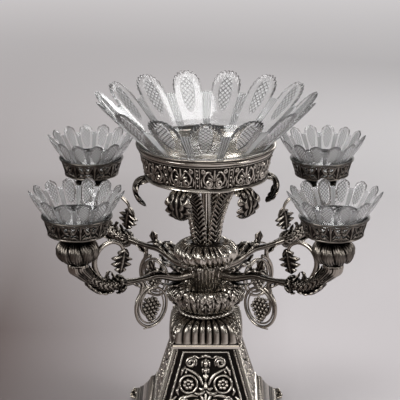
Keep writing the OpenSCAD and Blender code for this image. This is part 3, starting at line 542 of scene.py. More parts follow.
# The reeded neck: bright upright reeds, their colour lightened as painted light against the shade they stand in, that
# spread to the knop, with a ringed socket for each of the four branches.
# It is cast in one with its sockets and stands on the calyx.
low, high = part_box("neck")
neck_foot, neck_height = low.z, high.z - low.z
neck_shape = smooth_line([(8, 0.0), (21, 0.0), (21.4, 0.06), (22.3, 0.35), (24.2, 0.65), (27.6, 0.93), (29, 1.0),
    (8, 1.0)], 44) * [mm, neck_height] + [0, neck_foot]
neck_reeds = 26


def reed_swell(a, z):
    rise = np.clip((z - neck_foot) / neck_height, 0, 1)
    return 1.5 * mm * (np.abs(np.sin(neck_reeds / 2 * a)) - 0.5) * np.clip(9 * np.sin(np.pi * rise), 0, 1)


reeds = turned("reeded_neck", neck_shape, neck_reeds * 16, reed_swell)
socket_rows = np.array([(0, 6), (0, 8.5), (19, 8.5), (20, 9.8), (22, 9.8), (23, 8.6), (29, 8.6), (30, 9.6),
    (31.4, 9.6), (32, 8.8), (32, 5.6), (20, 5.6), (0, 6)]) * mm
turn = circle(64)
socket_height = 251.2 * mm
sockets = skin("branch_sockets",
    np.stack([socket_rows[:, :1] + 0 * turn, socket_rows[:, 1:] * np.cos(turn),
    socket_height + socket_rows[:, 1:] * np.sin(turn)], axis=2), crease=40)
neck = joined("reeded_neck", [reeds, ringed("branch_sockets", sockets, arm_angles)])
# The negative tone shift lightens the whole neck's colour: painted light where the knop and calyx shade it.
dress(tarnish(neck, 0.9 * mm, 8, tone_shift=-0.4), stand, "bright_silver", "neck")

# The knop: a fat bulb raised in tall lobes, each with a groove down its middle, and a skirt of small petals drooping
# under it. Both are chased silver and stand on the neck.
low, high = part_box("knop")
knop_foot, knop_height, knop_lobes = low.z, high.z - low.z, 24
bulb_shape = smooth_line([(6, 0), (29, 0), (37, 0.1), (43, 0.32), (44.5, 0.5), (42, 0.7), (36, 0.88), (28, 0.98),
    (22, 1), (6, 1)], 60) * [mm, knop_height] + [0, knop_foot]


def knop_swell(a, z):
    rise = np.clip((z - knop_foot) / knop_height, 0, 1)
    lobe = np.abs(np.sin(knop_lobes / 2 * (a + 0.12 * np.sin(5 * a) + 0.25 * rise)))
    groove = np.exp(-((1 - lobe) / 0.03) ** 2)
    fade = np.clip(14 * rise, 0, 1) * np.clip(14 * (1.01 - rise), 0, 1)
    return mm * (5.2 * lobe ** 0.7 - 1.4 - 1.2 * groove) * fade


knop = turned("lobed_knop", bulb_shape, knop_lobes * 20, knop_swell)
dress(tarnish(knop, 0.9 * mm, 10), stand, "chased_silver", "knop")
skirt_plate = turned("skirt_plate", np.array([(6, 265), (31, 265), (33, 266.5), (31, 268), (6, 268)]) * mm, 96)
skirt_petal = blade("skirt_petal", flat_line([(27, 267.5), (32, 267.2), (36, 265), (38, 262), (38.6, 259.6)], 30),
    (0, 1, 0), [5, 6.8, 7.2, 5.5, 1], [0.9, 0.9, 0.8, 0.5], veined(6 * mm, 3), None, (3, 0.2), 13)
skirt = joined("petal_skirt",
    [skirt_plate, ringed("skirt_petals", skirt_petal, petal_angles + math.pi / calyx_leaves)])
dress(tarnish(skirt, 0.3 * mm, 8), stand, "chased_silver", "knop_petals")

# The palm stem: six cast fronds round a bright sleeve, each a stalk of overlapping pointed leaves that leans out
# under the frame and ends in a broad pleated leaf hanging over.
low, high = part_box("stem_sleeve")
palm_foot, palm_height, palm_reach, palm_turn = low.z, high.z - low.z, 88 * mm, math.radians(7)
frond_line = np.array([(0.19, 0.004), (0.205, 0.16), (0.26, 0.4), (0.42, 0.72), (0.66, 0.9), (0.96, 0.957),
    (1.13, 0.91), (1.18, 0.8), (1.12, 0.65), (1.0, 0.56)]) * [palm_reach, palm_height] + [0, palm_foot]
frond_rows = 190
frond_flat = smooth_line(frond_line, frond_rows)
frond_spine = np.column_stack([frond_flat[:, 0], np.zeros(frond_rows), frond_flat[:, 1]])
scale_count, leaf_from = 25, 0.6


def stalk_scales(along, side):
    step = scale_count * along - 1.3 * np.abs(side)
    scale = (step - np.floor(step)) ** 1.2
    fade = np.clip((leaf_from - along) / 0.05, 0, 1) * np.clip(along / 0.03, 0, 1)
    return mm * (3.0 * scale + 0.8 * np.exp(-(side / 0.1) ** 2)) * fade


def leaf_pleats(along, side):
    pleat = 2.5 * side ** 2 - 2.6 * np.abs(np.cos(2.5 * np.pi * side)) * (1 - 0.4 * side ** 2)
    return mm * pleat * np.sin(np.pi * np.clip(along, 0, 1)) ** 0.4


frond_share = np.linspace(0, 1, frond_rows)
frond_widths = read([9.6, 9.6, 9.4, 9.6, 10, 10, 6, 4, 3, 1.5], frond_share)
frond_widths *= 1 - np.where(frond_share > leaf_from, 0, 0.16 * ((scale_count * frond_share) % 1))
stalk = blade("palm_stalk", frond_spine, (0, -1, 0), frond_widths, [2.6, 2.6, 2.4, 2.2, 2, 1.7, 1.5, 1.3, 1.1, 0.5],
              stalk_scales, lambda a, s: -0.4 * stalk_scales(a, s), columns=21)
leaf_rows = np.linspace(0.54, 1, 84) * (frond_rows - 1)
leaf_line = np.column_stack([np.interp(leaf_rows, np.arange(frond_rows), axis) for axis in frond_spine.T])
palm_leaf = blade("palm_leaf", leaf_line, (0, -1, 0), [8, 12, 17, 20, 21, 20, 17, 12, 5], [1.5, 1.5, 1.3, 1.1, 0.6],
    leaf_pleats, leaf_pleats, (6, 0.42), 43, 0.2)
frond = joined("palm_frond", [stalk, palm_leaf])
tarnish(frond, 0.6 * mm, 10, lambda p: np.where(np.hypot(p[:, 0], p[:, 1]) > 0.6 * palm_reach, 0.36, 0.1))
for k in range(1, 7):
    dress(placed(frond, f"palm_frond_{k}", palm_turn + (k - 1) * math.pi / 3), stand, "chased_silver", f"frond_{k}")
bpy.data.objects.remove(frond)
coat(finishes["bright_silver"], bpy.data.objects["stem_sleeve"], bpy.data.objects["tie_nut"])

# The main frame: a band chased with paired volutes and palmettes between pilasters, a bright rim moulding soldered on
# its top, and a flat pan that the nut clamps on the palm stem.
low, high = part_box("main_band")
band_height, band_drop, motifs = (high.z - low.z) / mm, 4.0, 12
motif_pitch = 2 * math.pi * 94 / motifs
frieze = [drawn(*stroke) for stroke in [
    (coil((7.6, 13), 5.6, 1.5, 80, 0.3), [1.0, 1.4, 1.6, 1.8]),
    ([(13, 12), (15.5, 18), (14, 24.5), (9, 29.5), (5, 28.5)], [1.2, 1.6, 1.5, 1.4, 1.0]),
    (coil((15.6, 30), 3.4, 1.3, 220, 0.3), [0.9, 1.1, 1.3]),
    ([(0, 17), (0, 24), (0, 32)], [0.9, 2.1, 1.0]),
    ([(0.6, 18), (4, 24.5), (6.6, 27)], [0.8, 1.6, 0.9]),
    ([(0.6, 17), (5, 20), (9, 21)], [0.8, 1.5, 0.8]),
    ([(0, 8), (0, 13)], [2.0, 1.0]),
    ([(2, 7.4), (8, 6.8), (15, 8.4)], [1.1, 1.3, 0.7]),
    ([(18, 9), (19.2, 15), (17.6, 21)], [0.7, 1.5, 0.7]),
    ([(21.4, 6.5), (21.4, 20), (21.4, 34)], [0.9, 0.9, 0.9], 40),
    ([(24.6, 10)], [1.9]),
    ([(24.6, 20.5)], [2.3]),
    ([(24.6, 31)], [1.9]),
    ([(24.6, 14.5), (24.6, 17)], [1.0, 1.0]),
    ([(24.6, 24.5), (24.6, 27)], [1.0, 1.0])]]
band_columns, band_rows = motifs * 60, 54
angle = circle(band_columns)
rise = np.linspace(0, 1, band_rows)[:, None]
step = angle / (2 * math.pi) * motifs + 0.75
band_x, band_y = (step - np.round(step)) * motif_pitch + 0 * rise, rise * band_height + 0 * step
mould = np.interp(band_y, [0, 0.3, 1.4, 2.8, 3.2, 3.4, 4.6, 4.9, 35, 35.3, 36.3, 36.6, 37.4, 38, 40.6, 41, 41.6],
    [0.6, 1.3, 1.9, 1.3, 0.4, 0.5, 0.5, -0.6, -0.6, 0.7, 0.7, -0.3, -0.3, 1.0, 1.0, 0.5, 0])
carving = raised(band_x, band_y, frieze)
field = (band_y > 4.6) & (band_y < 35.4)
mould = np.where(field, np.maximum(mould, -0.6 + 1.35 * carving), mould)
band_out = 88 + 11 * rise - 2 * np.sin(np.pi * rise) + mould
inner_rise = np.linspace(1, 0, 8)[:, None]
band_in = 85.7 + 11 * inner_rise - 2 * np.sin(np.pi * inner_rise) + 0 * angle
radius = np.concatenate([band_out, band_in, band_out[:1]]) * mm
height = np.concatenate([band_y, inner_rise * band_height + 0 * angle, band_y[:1]])
height = high.z - (band_height - height) * (1 + band_drop / band_height) * mm
band = skin("chased_band", round_axis(radius, angle, height))
dress(tarnish(band, 0.55 * mm, 12, tone_shift=-0.08), stand, "chased_silver", "main_band")
low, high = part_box("main_rim")
rim_shape = np.array([(96.6, 0), (99, 0), (100.4, 0.4), (101.2, 1.1), (101.2, 1.9), (100.4, 2.5), (99.9, 2.8),
    (100.6, 3.1), (101.7, 3.6), (102, 4.3), (101.5, 5.0), (100, 5.4), (96.6, 5.4), (96.6, 0)]) * mm + [0, low.z]
rim = turned("rim_moulding", rim_shape, 240, crease=50)
# The tone shift darkens the whole rim: painted shade over the lamp highlight on its flat top.
dress(tarnish(rim, 0.3 * mm, 4, tone_shift=0.25), stand, "chased_silver", "main_rim")
coat(finishes["bright_silver"], bpy.data.objects["main_pan"])

# The large bowl: thick pressed and cut glass with an edge of scalloped tongue-shaped petals. Each petal carries a
# pointed oval of cut diamonds and a bevel, and fans of flutes stand between the petals; its foot ring rests on the
# pan.
# The cut lines and the petal edges are darkened in the glass colour: painted shade.
finishes["cut_glass"] = bpy.data.materials.new("cut_crystal")
finishes["cut_glass"].use_nodes = True
glass_tree = finishes["cut_glass"].node_tree
new = glass_tree.nodes.new
mark = new("ShaderNodeVertexColor")
mark.layer_name = "cut_place"
split = feed(new("ShaderNodeSeparateColor"), {"Color": mark.outputs["Color"]})
cut_share = split.outputs["Blue"]
ways = [worked(new, "ABSOLUTE", worked(new, "SUBTRACT", worked(new, "FRACT", split.outputs[way]), 0.5))
        for way in ("Red", "Green")]
groove = worked(new, "MAXIMUM", *ways)
line = feed(new("ShaderNodeMapRange"), {"Value": groove, "From Min": 0.3, "From Max": 0.44})
# Dark lines along the cuts and a dark band at the petal edges are painted shade, standing in for the dark refraction
# of the cut glass.
cut_and_edge_shade = worked(new, "MAXIMUM", worked(new, "MULTIPLY", line.outputs["Result"], cut_share),
    worked(new, "MULTIPLY", mark.outputs["Alpha"], 0.8))
tint = new("ShaderNodeMix")
tint.data_type = "RGBA"
feed(tint, {"Factor": cut_and_edge_shade, "A": (0.95, 0.955, 0.955, 1), "B": (0.16, 0.155, 0.155, 1)})
place = new("ShaderNodeTexCoord").outputs["Object"]
ripple = feed(new("ShaderNodeTexNoise"), {"Vector": place, "Scale": 190}).outputs["Fac"]
wave = feed(new("ShaderNodeBump"), {"Height": ripple, "Strength": 0.1, "Distance": 0.8 * mm})
facet_height = worked(new, "MULTIPLY", worked(new, "SUBTRACT", 0.5, groove), cut_share)
facets = feed(new("ShaderNodeBump"), {
    "Height": facet_height, "Strength": 0.7, "Distance": 1.2 * mm, "Normal": wave.outputs["Normal"]})
feed(glass_tree.nodes["Principled BSDF"], {
    "IOR": 1.52, "Base Color": tint.outputs["Result"], "Normal": facets.outputs["Normal"],
    "Transmission Weight": worked(new, "MULTIPLY_ADD", cut_share, -0.42, 0.98),
    "Roughness": worked(new, "MULTIPLY_ADD", ripple, 0.06, 0.015)})


def cut_glass(name, outer, lip, wall, foot, petals, flutes, notch, oval, lattice, cut, scallops, counts, sharp=1.0,
              frost=0.0):
    """A petal-edged glass on the Z axis, in millimetres, from the line of its outer face.

    lip is the height where the petals begin, foot the ring's radii and height, notch how deep the edge is cut between
    petals, oval the half width, half height and margin of the diamond cutting, and counts the columns across a petal
    and the rows below and above the lip.
    """
    line = smooth_line(outer, 240)
    walked = np.concatenate([[0], np.cumsum(np.linalg.norm(np.diff(line, axis=0), axis=1))])
    run = heading(line)
    length, lip_at = walked[-1], np.interp(lip, line[:, 1], walked)
    pitch = 2 * math.pi * line[-1, 0] / petals
    half = 0.37 * pitch
    flute_width = 2 * (pitch / 2 - half) / flutes
    oval_at = length - oval[2] - oval[1]

    def on_line(walk):
        return [np.interp(walk, walked, axis) for axis in (*line.T, *run.T)]

    def at(walk, rise):
        r, z, dr, dz = on_line(walk)
        return r + dz * rise, z - dr * rise

    def in_notch(walk):
        return np.clip((walk - length + notch) / notch, 0, 1)

    def to_side(walk, x):
        return half * np.sqrt(np.maximum(1 - in_notch(walk) ** 2.2, 0)) - np.abs(x)

    def in_oval(walk, x):
        return np.clip((1 - ((walk - oval_at) / oval[1]) ** 2 - (x / oval[0]) ** 2) * 5, 0, 1)

    def flute_step(x):
        return (pitch / 2 - np.abs(x)) / flute_width + (0.5 if flutes % 2 else 0)

    across, low_rows, high_rows = counts
    tongue = half * np.sin(np.linspace(-np.pi / 2, np.pi / 2, across + 1))
    fan = np.linspace(half, pitch - half, 4 * flutes + 1)[1:]
    x = np.concatenate([tongue, fan])[:-1]
    swing = np.concatenate([(x + k * pitch) for k in range(petals)] + [[petals * pitch - half]])[None, :]
    x = np.concatenate([np.tile(x, petals), [-half]])[None, :]
    x = np.where(x > pitch / 2, x - pitch, x)
    in_petal = np.abs(x) < half
    bow = np.where(in_petal, np.maximum(1 - (x / half) ** 2, 0) ** (1 / 2.2), 0)
    ripple = np.abs(np.cos(np.pi * flute_step(x)))
    scallop = np.abs(np.sin(scallops * (np.arcsin(np.clip(x / half, -1, 1)) + np.pi / 2))) - 0.6
    scallop = np.where(in_petal, scallop, 0) * 0.11 * notch
    top = length - notch * (1 - bow) + np.where(in_petal, bow * scallop, 0.06 * notch * (1 - ripple))
    low_share = np.linspace(0, 1, low_rows)[:-1, None]
    high_share = np.linspace(0, 1, high_rows)[:, None]
    walk = np.concatenate([lip_at * low_share + 0 * x, lip_at + (top - lip_at) * high_share])
    edge = np.minimum(np.where(walk > length - notch, to_side(walk, x), half), top - walk)
    bevel = -0.6 * cut * np.clip(1 - edge / (0.11 * half), 0, 1)
    rise = -0.7 * cut * in_oval(walk, x) + np.where(in_petal, bevel, -1.4 * cut * ripple)
    rise *= np.clip((walk - lip_at) / (0.05 * length), 0, 1)
    outer_r, outer_z = at(walk, rise)
    inner_walk = np.concatenate([lip_at * low_share[::2] + 0 * x,
        lip_at + (top - 0.3 * wall - lip_at) * high_share[::4]])[::-1]
    inner_r, inner_z = at(inner_walk, -wall * (1 - 0.3 * inner_walk / length))
    bottom = outer[0][1]
    ring = np.array([(0, bottom), (foot[0], bottom), (foot[0], bottom - foot[2]), (foot[1], bottom - foot[2]),
        (foot[1], bottom)])
    radius = np.concatenate([ring[:, :1] + 0 * x, outer_r, inner_r, 0 * x])
    height = np.concatenate([ring[:, 1:] + 0 * x, outer_z, inner_z, bottom + wall + 0 * x])
    spread = [scallop * x / half * in_notch(face) for face in (walk, inner_walk)]
    angle = np.concatenate([0 * ring[:, :1] + 0 * x, *spread, 0 * x]) + swing
    angle = angle * 2 * math.pi / (petals * pitch) - math.pi / 2
    glass = skin(name, round_axis(radius, angle, height) * mm, crease=32)

    spot = spots(glass.data) / mm
    r, z = np.hypot(spot[:, 0], spot[:, 1]), spot[:, 2]
    walk = np.interp(r, line[:, 0], walked)
    for step in range(4):
        r0, z0, dr, dz = on_line(walk)
        walk = np.clip(walk + (r - r0) * dr + (z - z0) * dz, 0, length)
    r0, z0, dr, dz = on_line(walk)
    depth = (r - r0) * dz - (z - z0) * dr
    turn = (np.arctan2(spot[:, 1], spot[:, 0]) + math.pi / 2) / (2 * math.pi) * petals
    x = (turn - np.round(turn)) * pitch
    in_petal = np.abs(x) < half
    # Alpha of cut_place: painted shade that darkens the glass near the cut petal edges.
    near_edge = np.exp(-(np.maximum(to_side(walk, x), 0) / (0.08 * half)) ** 2)
    painted_edge_shade = near_edge * in_petal * (walk > length - notch)
    diamonds = np.stack([x / lattice + walk / lattice, x / lattice - walk / lattice,
        in_oval(walk, x) * (sharp - frost) + frost], axis=1)
    fluted = np.stack([flute_step(x), 0.5 + 0 * x, 0.65 * sharp + 0 * x], axis=1)
    cuts = np.where(in_petal[:, None], diamonds, fluted)
    cuts[:, 2] *= (depth > -0.5 * wall) * (z > lip)
    layer = glass.data.color_attributes.new("cut_place", "FLOAT_COLOR", "POINT")
    layer.data.foreach_set("color", np.column_stack([cuts, painted_edge_shade]).ravel())
    return glass


def glass_line(throat, radius, seat, lip, top, under, over):
    """The outer line of a glass, from shares of its well up to the lip and of its spread above the lip."""
    return ([(throat * u, seat + (lip - seat) * v) for u, v in under] + [(throat, lip + 0.3)]
            + [(throat + (radius - throat) * u, lip + (top - lip) * v) for u, v in over])


lip_height, throat = 446.0, 95.0
bowl_line = glass_line(throat, radius=162.0, seat=410.3, lip=lip_height, top=515.0,
    under=((0.66, 0), (0.86, 0.24), (0.97, 0.7)), over=((0.42, 0.4), (0.73, 0.7), (1, 1)))
bowl = cut_glass("petal_bowl", bowl_line, lip_height, wall=5, foot=(0.5 * throat, 0.58 * throat, 8), petals=15,
    flutes=4, notch=37, oval=(12.5, 32, 7.5), lattice=8.4, cut=1.6, scallops=13, counts=(84, 8, 30))
dress(bowl, "main_bowl", "cut_glass", "main_bowl")

# The branches: cast stems, each with a spigot in its socket, a leafy crown, a sleeve of overlapping leaves up to its
# boss, a hook with a hanging leaf, and a pendant ring of two lines round a bunch of grapes. All of it is cast in one
# with the stem.
arm_root, arm_reach, arm_rise, socket_z = 44.0, 231.0, 60.0, socket_height / mm


def arm(*shares):
    """Points of a branch from shares of its run and rise, in millimetres of radius and height."""
    return [(arm_root + (arm_reach - arm_root) * u, socket_z + arm_rise * v) for u, v in shares]


def rod(name, line, radii, sides=16, chase=None):
    """A cast stem along a line in the plane of the branch, with radii read along it and a chased swell."""
    along = np.linspace(0, 1, len(line))[:, None]
    turn = circle(sides)
    up, level = np.cross(heading(line), (0, 1, 0))[:, None], np.array((0, 1, 0))
    radius = (read(radii, along) + (chase(along, turn) if chase else 0 * turn)) * mm
    upward, sideways = (radius * np.cos(turn))[..., None], (radius * np.sin(turn))[..., None]
    ring = line[:, None] + up * upward + level * sideways
    return skin(name, capped(ring, line[[0, -1]]))


def berry(spot, size):
    """A cast berry at a radius, side and height."""
    bpy.ops.object.select_all(action="DESELECT")
    bpy.ops.mesh.primitive_ico_sphere_add(subdivisions=2, radius=size * mm, location=np.asarray(spot) * mm)
    bpy.ops.object.transform_apply()
    bpy.ops.object.shade_smooth()
    return bpy.context.object


def sprig(name, points, widths, ribs, thick=1.6, lobes=None, upright=False):
    """An acanthus leaf along drawn points, chased on both sides; an upright one lies in the branch's plane."""
    line, veins = flat_line(points, 8 * len(points) + 10), veined(max(widths) * mm, ribs)
    across = np.cross(heading(line), (0, 1, 0)) if upright else (0, 1, 0)
    return blade(name, line, across, widths, [thick, thick, 0.7 * thick, 0.5], veins, lambda a, s: -veins(a, s),
                 lobes or (ribs, 0.3), 13)


stem_points = [(32.3, socket_z)] + arm((0, 0), (0.08, 0.02), (0.17, 0.11), (0.27, 0.19), (0.37, 0.19), (0.47, 0.2),
    (0.58, 0.23), (0.68, 0.25), (0.78, 0.32), (0.87, 0.5), (0.955, 0.74), (1, 0.9), (1, 0.95), (1, 1))
stem_line = flat_line(stem_points, 240)
sleeve_from = 0.54


def sleeve_leaves(along, turn):
    rows = 11 * (along - sleeve_from) / (1 - sleeve_from) - 0.9 * np.abs(np.sin(3 * turn))
    return np.where(along > sleeve_from, 2.0 * (rows - np.floor(rows)) - 0.6, 0.5 * np.abs(np.sin(4 * turn)))


stem = rod("branch_stem", stem_line, [8.3, 7.2, 6, 4.8, 4, 3.6, 3.8, 5.4, 7.6, 8.4, 8.4, 8.2, 8, 7.8], 36,
    sleeve_leaves)
spigot = rod("branch_spigot", flat_line([(14.3, socket_z), (20, socket_z), (34, socket_z)], 12), [5.4, 5.5, 5.5], 32)
crown_at = np.array(arm((0.6, 0.233))[0])
crown_ring = rod("crown_ring",
    flat_line([tuple(crown_at - (6, 0.5)), tuple(crown_at), tuple(crown_at + (6, 0.5))], 24),
    [4.5, 7.6, 8.4, 7, 6.4, 7.4, 8.8, 8.4, 6], 48)
crown_leaves = []
for q in range(6):
    leaf = sprig("crown_leaf", [(-5, 5), (-2, 9), (2.5, 12), (6.5, 13.4), (9.5, 11.4)], [2.5, 4.2, 5, 4, 1], 3, 1.3)
    swing = Matrix.Rotation(q * math.pi / 3, 4, "X")
    leaf.data.transform(Matrix.Translation((crown_at[0] * mm, 0, crown_at[1] * mm)) @ swing)
    crown_leaves.append(leaf)
leaf_cup = rod("branch_cup", stem_line[-40:], [8, 8.6, 9, 9, 9.4, 10.2, 11.6, 12.8, 13], 96,
               lambda a, t: (1.9 * np.abs(np.sin(3 * t)) - 0.7 + 0.6 * np.abs(np.sin(12 * t))) * np.clip(a * 3, 0, 1))
hook = rod("hook_stem", flat_line(arm((0.78, 0.34), (0.84, 0.72), (0.848, 0.98), (0.81, 1.19), (0.745, 1.3),
    (0.67, 1.31), (0.605, 1.2), (0.575, 1.03)), 90), [5.0, 4.5, 4.1, 3.8, 3.5, 3.2, 2.8, 2.0], 16)
pendant_r = 28.0
pendant_at = np.array(arm((0.315, 0.17))[0]) - (0, pendant_r + 12)


def pendant(radius, sweep, tight):
    """A ring that coils inward on its second half, hung under the stem."""
    share = np.linspace(0, 1, 140)
    swing = math.radians(75) - math.radians(sweep) * share
    reach = radius * (1 - tight * np.maximum(0, (share - 0.5) / 0.5) ** 1.4)
    return np.column_stack([(pendant_at[0] + reach * np.cos(swing)) * mm, 0 * share,
        (pendant_at[1] - 3 + 1.1 * reach * np.sin(swing)) * mm])


outer_scroll = rod("outer_scroll", pendant(pendant_r, 520, 0.62), [3.0, 2.2, 2.1, 2.1, 1.9, 1.6], 16)
inner_scroll = rod("inner_scroll", pendant(pendant_r - 4.6, 350, 0.1), [1.2, 1.4, 1.4, 1.3, 1.2, 1.0], 12)
join_low = [tuple(pendant(pendant_r, 520, 0.62)[row, [0, 2]] / mm) for row in (8, 16)]
scroll_join = rod("scroll_join", flat_line(arm((0.45, 0.2), (0.4, 0.08)) + join_low, 40), [3.6, 3.2, 2.4, 1.8], 14)
scroll_foot = rod("scroll_foot", flat_line([tuple(pendant_at + p) for p in ((-14, -30), (0, -34.4), (14, -35))], 24),
    [0.8, 1.8, 1.0], 12)
grapes = []
for drop, count in ((10, 3), (4.5, 4), (-1, 5), (-6.5, 4), (-12, 3), (-17, 2), (-21.5, 1)):
    for n in range(count):
        side = 6.6 * (n - (count - 1) / 2)
        for face in (-1, 1):
            grapes.append(berry((pendant_at[0] + 1 + side, face * 3.2, pendant_at[1] - 3 + drop), 3.0))
sprigs = [
    sprig("hook_leaf", arm((0.57, 1.06), (0.585, 0.93), (0.6, 0.72), (0.615, 0.48)), [2.5, 11, 18, 17, 12, 1.5], 4,
        2.4, (4, 0.62), True),
    sprig("hook_curl", arm((0.585, 1.1), (0.545, 1.0), (0.535, 0.86), (0.555, 0.8)), [1.4, 2.6, 2.4, 1], 2, 1.6,
        (2, 0.2), True),
    sprig("upright_leaf", arm((0.285, 0.17), (0.3, 0.34), (0.318, 0.5), (0.335, 0.64)), [3.4, 5, 8.6, 8, 1], 3, 2,
        (2, 0.5), True),
    sprig("root_leaf", arm((0.0, 0.08), (0.07, 0.2), (0.14, 0.4), (0.2, 0.42), (0.225, 0.3)), [5, 8.5, 9, 6, 1.5], 5),
    sprig("stem_leaf", arm((0.13, 0.08), (0.22, 0.29), (0.31, 0.35), (0.39, 0.28)), [5, 8, 7, 1.5], 4),
    sprig("under_leaf_root", arm((0.0, -0.1), (0.08, -0.16), (0.18, -0.1), (0.26, 0.06)), [5, 8.5, 7, 1.5], 5),
    sprig("collar_leaf", arm((0.61, 0.23), (0.665, 0.43), (0.69, 0.58)), [4, 6.4, 1.5], 3),
    sprig("sleeve_curl", arm((0.7, 0.3), (0.735, 0.47), (0.725, 0.58), (0.7, 0.6)), [2.6, 4.6, 4, 1], 3, 1.6,
        (3, 0.4), True),
    sprig("pendant_leaf", arm((0.51, 0.2), (0.43, 0.04), (0.37, -0.07)), [4, 6, 1.5], 3),
    sprig("elbow_leaf", arm((0.68, 0.1), (0.8, 0.14), (0.9, 0.36), (0.955, 0.62)), [5, 9, 8.4, 1.5], 6),
    sprig("bend_leaf", arm((0.74, 0.42), (0.81, 0.54), (0.87, 0.74), (0.9, 0.9)), [4, 6.5, 6, 1.2], 4)]
branch = joined("scroll_branch",
    [stem, spigot, crown_ring, leaf_cup, hook, outer_scroll, inner_scroll, scroll_join, scroll_foot] + crown_leaves
    + grapes + sprigs)
tarnish(branch, 0.45 * mm, 8, tone_shift=0.3)


def set_out(piece, body, node, slot="chased_silver", reach=arm_reach * mm):
    """A numbered copy of a piece on each branch, in place of that branch's node."""
    for k, swing in enumerate(arm_angles, 1):
        dress(placed(piece, f"{piece.name}_{k}", swing, reach), f"{body}_{k}", slot, f"{node}_{k}")
    bpy.data.objects.remove(piece)


set_out(branch, "branch", "branch", reach=0)

# The bosses: fat lobed turbans with ribbed lobes, each with a flange and a spigot for a dish frame. They are cast in
# silver, chased, and fixed on the branch ends.
boss_foot, boss_height = 311.2, 34.0
boss_shape = smooth_line([(4, 0.0), (9, 0.0), (14, 0.1), (16.5, 0.2), (22, 0.33), (25.3, 0.5), (25, 0.66),
    (21.5, 0.82), (14, 0.95), (9, 1.0), (4, 1.0)], 50) * [mm, boss_height * mm] + [0, boss_foot * mm]


def boss_swell(a, z):
    rise = (z / mm - boss_foot) / boss_height
    lobes = 4.4 * np.abs(np.sin(4.5 * (a + 0.4 * rise))) ** 0.75 - 0.4 + 1.5 * np.abs(np.sin(22.5 * (a + 0.4 * rise)))
    return mm * lobes * np.clip(8 * (rise - 0.12), 0, 1) * np.clip(8 * (0.98 - rise), 0, 1)


turban = turned("boss_turban", boss_shape, 360, boss_swell)
seat = turned("boss_seat",
    np.array([(0, 343), (8, 343), (8, 345.5), (9.5, 346.4), (11.4, 347.2), (12, 348.2), (12, 350), (11.2, 351.2),
    (6, 351.2), (6, 356.6), (5.2, 357.2), (0, 357.2)]) * mm, 64, crease=40)
# The tone shift darkens the whole boss: painted shade that mutes the side lamp's highlights on its lobes.
boss = tarnish(joined("lobed_boss", [turban, seat]), 0.6 * mm, 10, tone_shift=0.46)
set_out(boss, "branch", "boss")

# The dish frames: flared galleries cast in openwork, swags between palmettes and rosettes, with a bright rim and a
# floor whose hub drops over the boss's spigot.
frame_foot, frame_height, swags = 355.2, 27.0, 9
swag_pitch = 2 * math.pi * 44 / swags
openwork = [drawn(*stroke) for stroke in [
    ([(0, 2), (0, 9), (0, 17), (0, 23.5)], [1.4, 2.2, 2.6, 1.4]),
    ([(0.6, 9), (3.4, 14), (5.2, 18.5)], [1.0, 1.6, 1.2]),
    ([(0.6, 6), (4.5, 9), (7, 13)], [0.9, 1.5, 1.1]),
    ([(5, 19.5), (8, 13.5), (11.6, 11.5), (15.4, 14.5)], [1.2, 1.7, 1.8, 1.3]),
    ([(3, 3.2), (8.5, 5.6), (12.5, 4.6), (15.4, 7.6)], [1.1, 1.5, 1.3, 1.2]),
    ([(15.4, 17.6)], [2.6]),
    ([(15.4, 3), (15.4, 8), (15.4, 13)], [1.5, 1.2, 1.2]),
    ([(15.4, 21), (15.4, 24)], [1.4, 1.6]),
    ([(2, 22.6), (8, 20.8), (13.4, 22.6)], [1.2, 1.1, 1.2])]]
angle = circle(swags * 40)
rise = np.linspace(0.08, 0.92, 30)[:, None]
step = angle / (2 * math.pi) * swags + 0.5
frame_x, frame_y = (step - np.round(step)) * swag_pitch + 0 * rise, rise * frame_height + 0 * step
carving = raised(frame_x, frame_y, openwork)


def gallery_wall(rise):
    return 39.6 + 8 * rise - 1.2 * np.sin(np.pi * rise)


gallery_r = (gallery_wall(rise) + 0.85 * carving) * mm
gallery = skin("pierced_gallery", round_axis(gallery_r, angle, (frame_foot + frame_y) * mm), is_open=True)
spot = spots(gallery.data) / mm
high_spot = np.hypot(spot[:, 0], spot[:, 1]) - gallery_wall((spot[:, 2] - frame_foot) / frame_height)
corners = np.empty(len(gallery.data.loops), np.int32)
gallery.data.loops.foreach_get("vertex_index", corners)
sunk = (high_spot[corners].reshape(-1, 4) < 0.12).all(axis=1)
bpy.ops.object.mode_set(mode="EDIT")
bpy.ops.mesh.select_mode(type="FACE")
bpy.ops.object.mode_set(mode="OBJECT")
gallery.data.polygons.foreach_set("select", sunk)
bpy.ops.object.mode_set(mode="EDIT")
bpy.ops.mesh.delete(type="FACE")
bpy.ops.object.mode_set(mode="OBJECT")
thick = gallery.modifiers.new("metal", "SOLIDIFY")
thick.thickness = 1.7 * mm
thick.offset = -1
bpy.ops.object.modifier_apply(modifier="metal")
foot_band = turned("frame_foot",
    np.array([(35.8, 0), (40.6, 0), (41.4, 0.6), (41.6, 1.4), (41.2, 2.3), (40.4, 2.8), (37.8, 2.8), (35.8, 2.5),
    (35.8, 0)]) * mm + [0, frame_foot * mm], 120, crease=45)
rim_band = turned("frame_rim",
    np.array([(45.8, 24.4), (48, 24.2), (49, 24.7), (49.3, 25.4), (48.8, 25.9), (49.4, 26.3), (49.2, 26.8),
    (48.4, 27), (45.8, 27), (45.8, 24.4)]) * mm + [0, frame_foot * mm], 120, crease=45)
floor_plate = turned("frame_floor",
    np.array([(6.1, 351.25), (11, 351.25), (11, 355.2), (36.8, 355.2), (36.8, 357.7), (6.1, 357.7), (6.1, 351.25)])
    * mm, 96, crease=40)
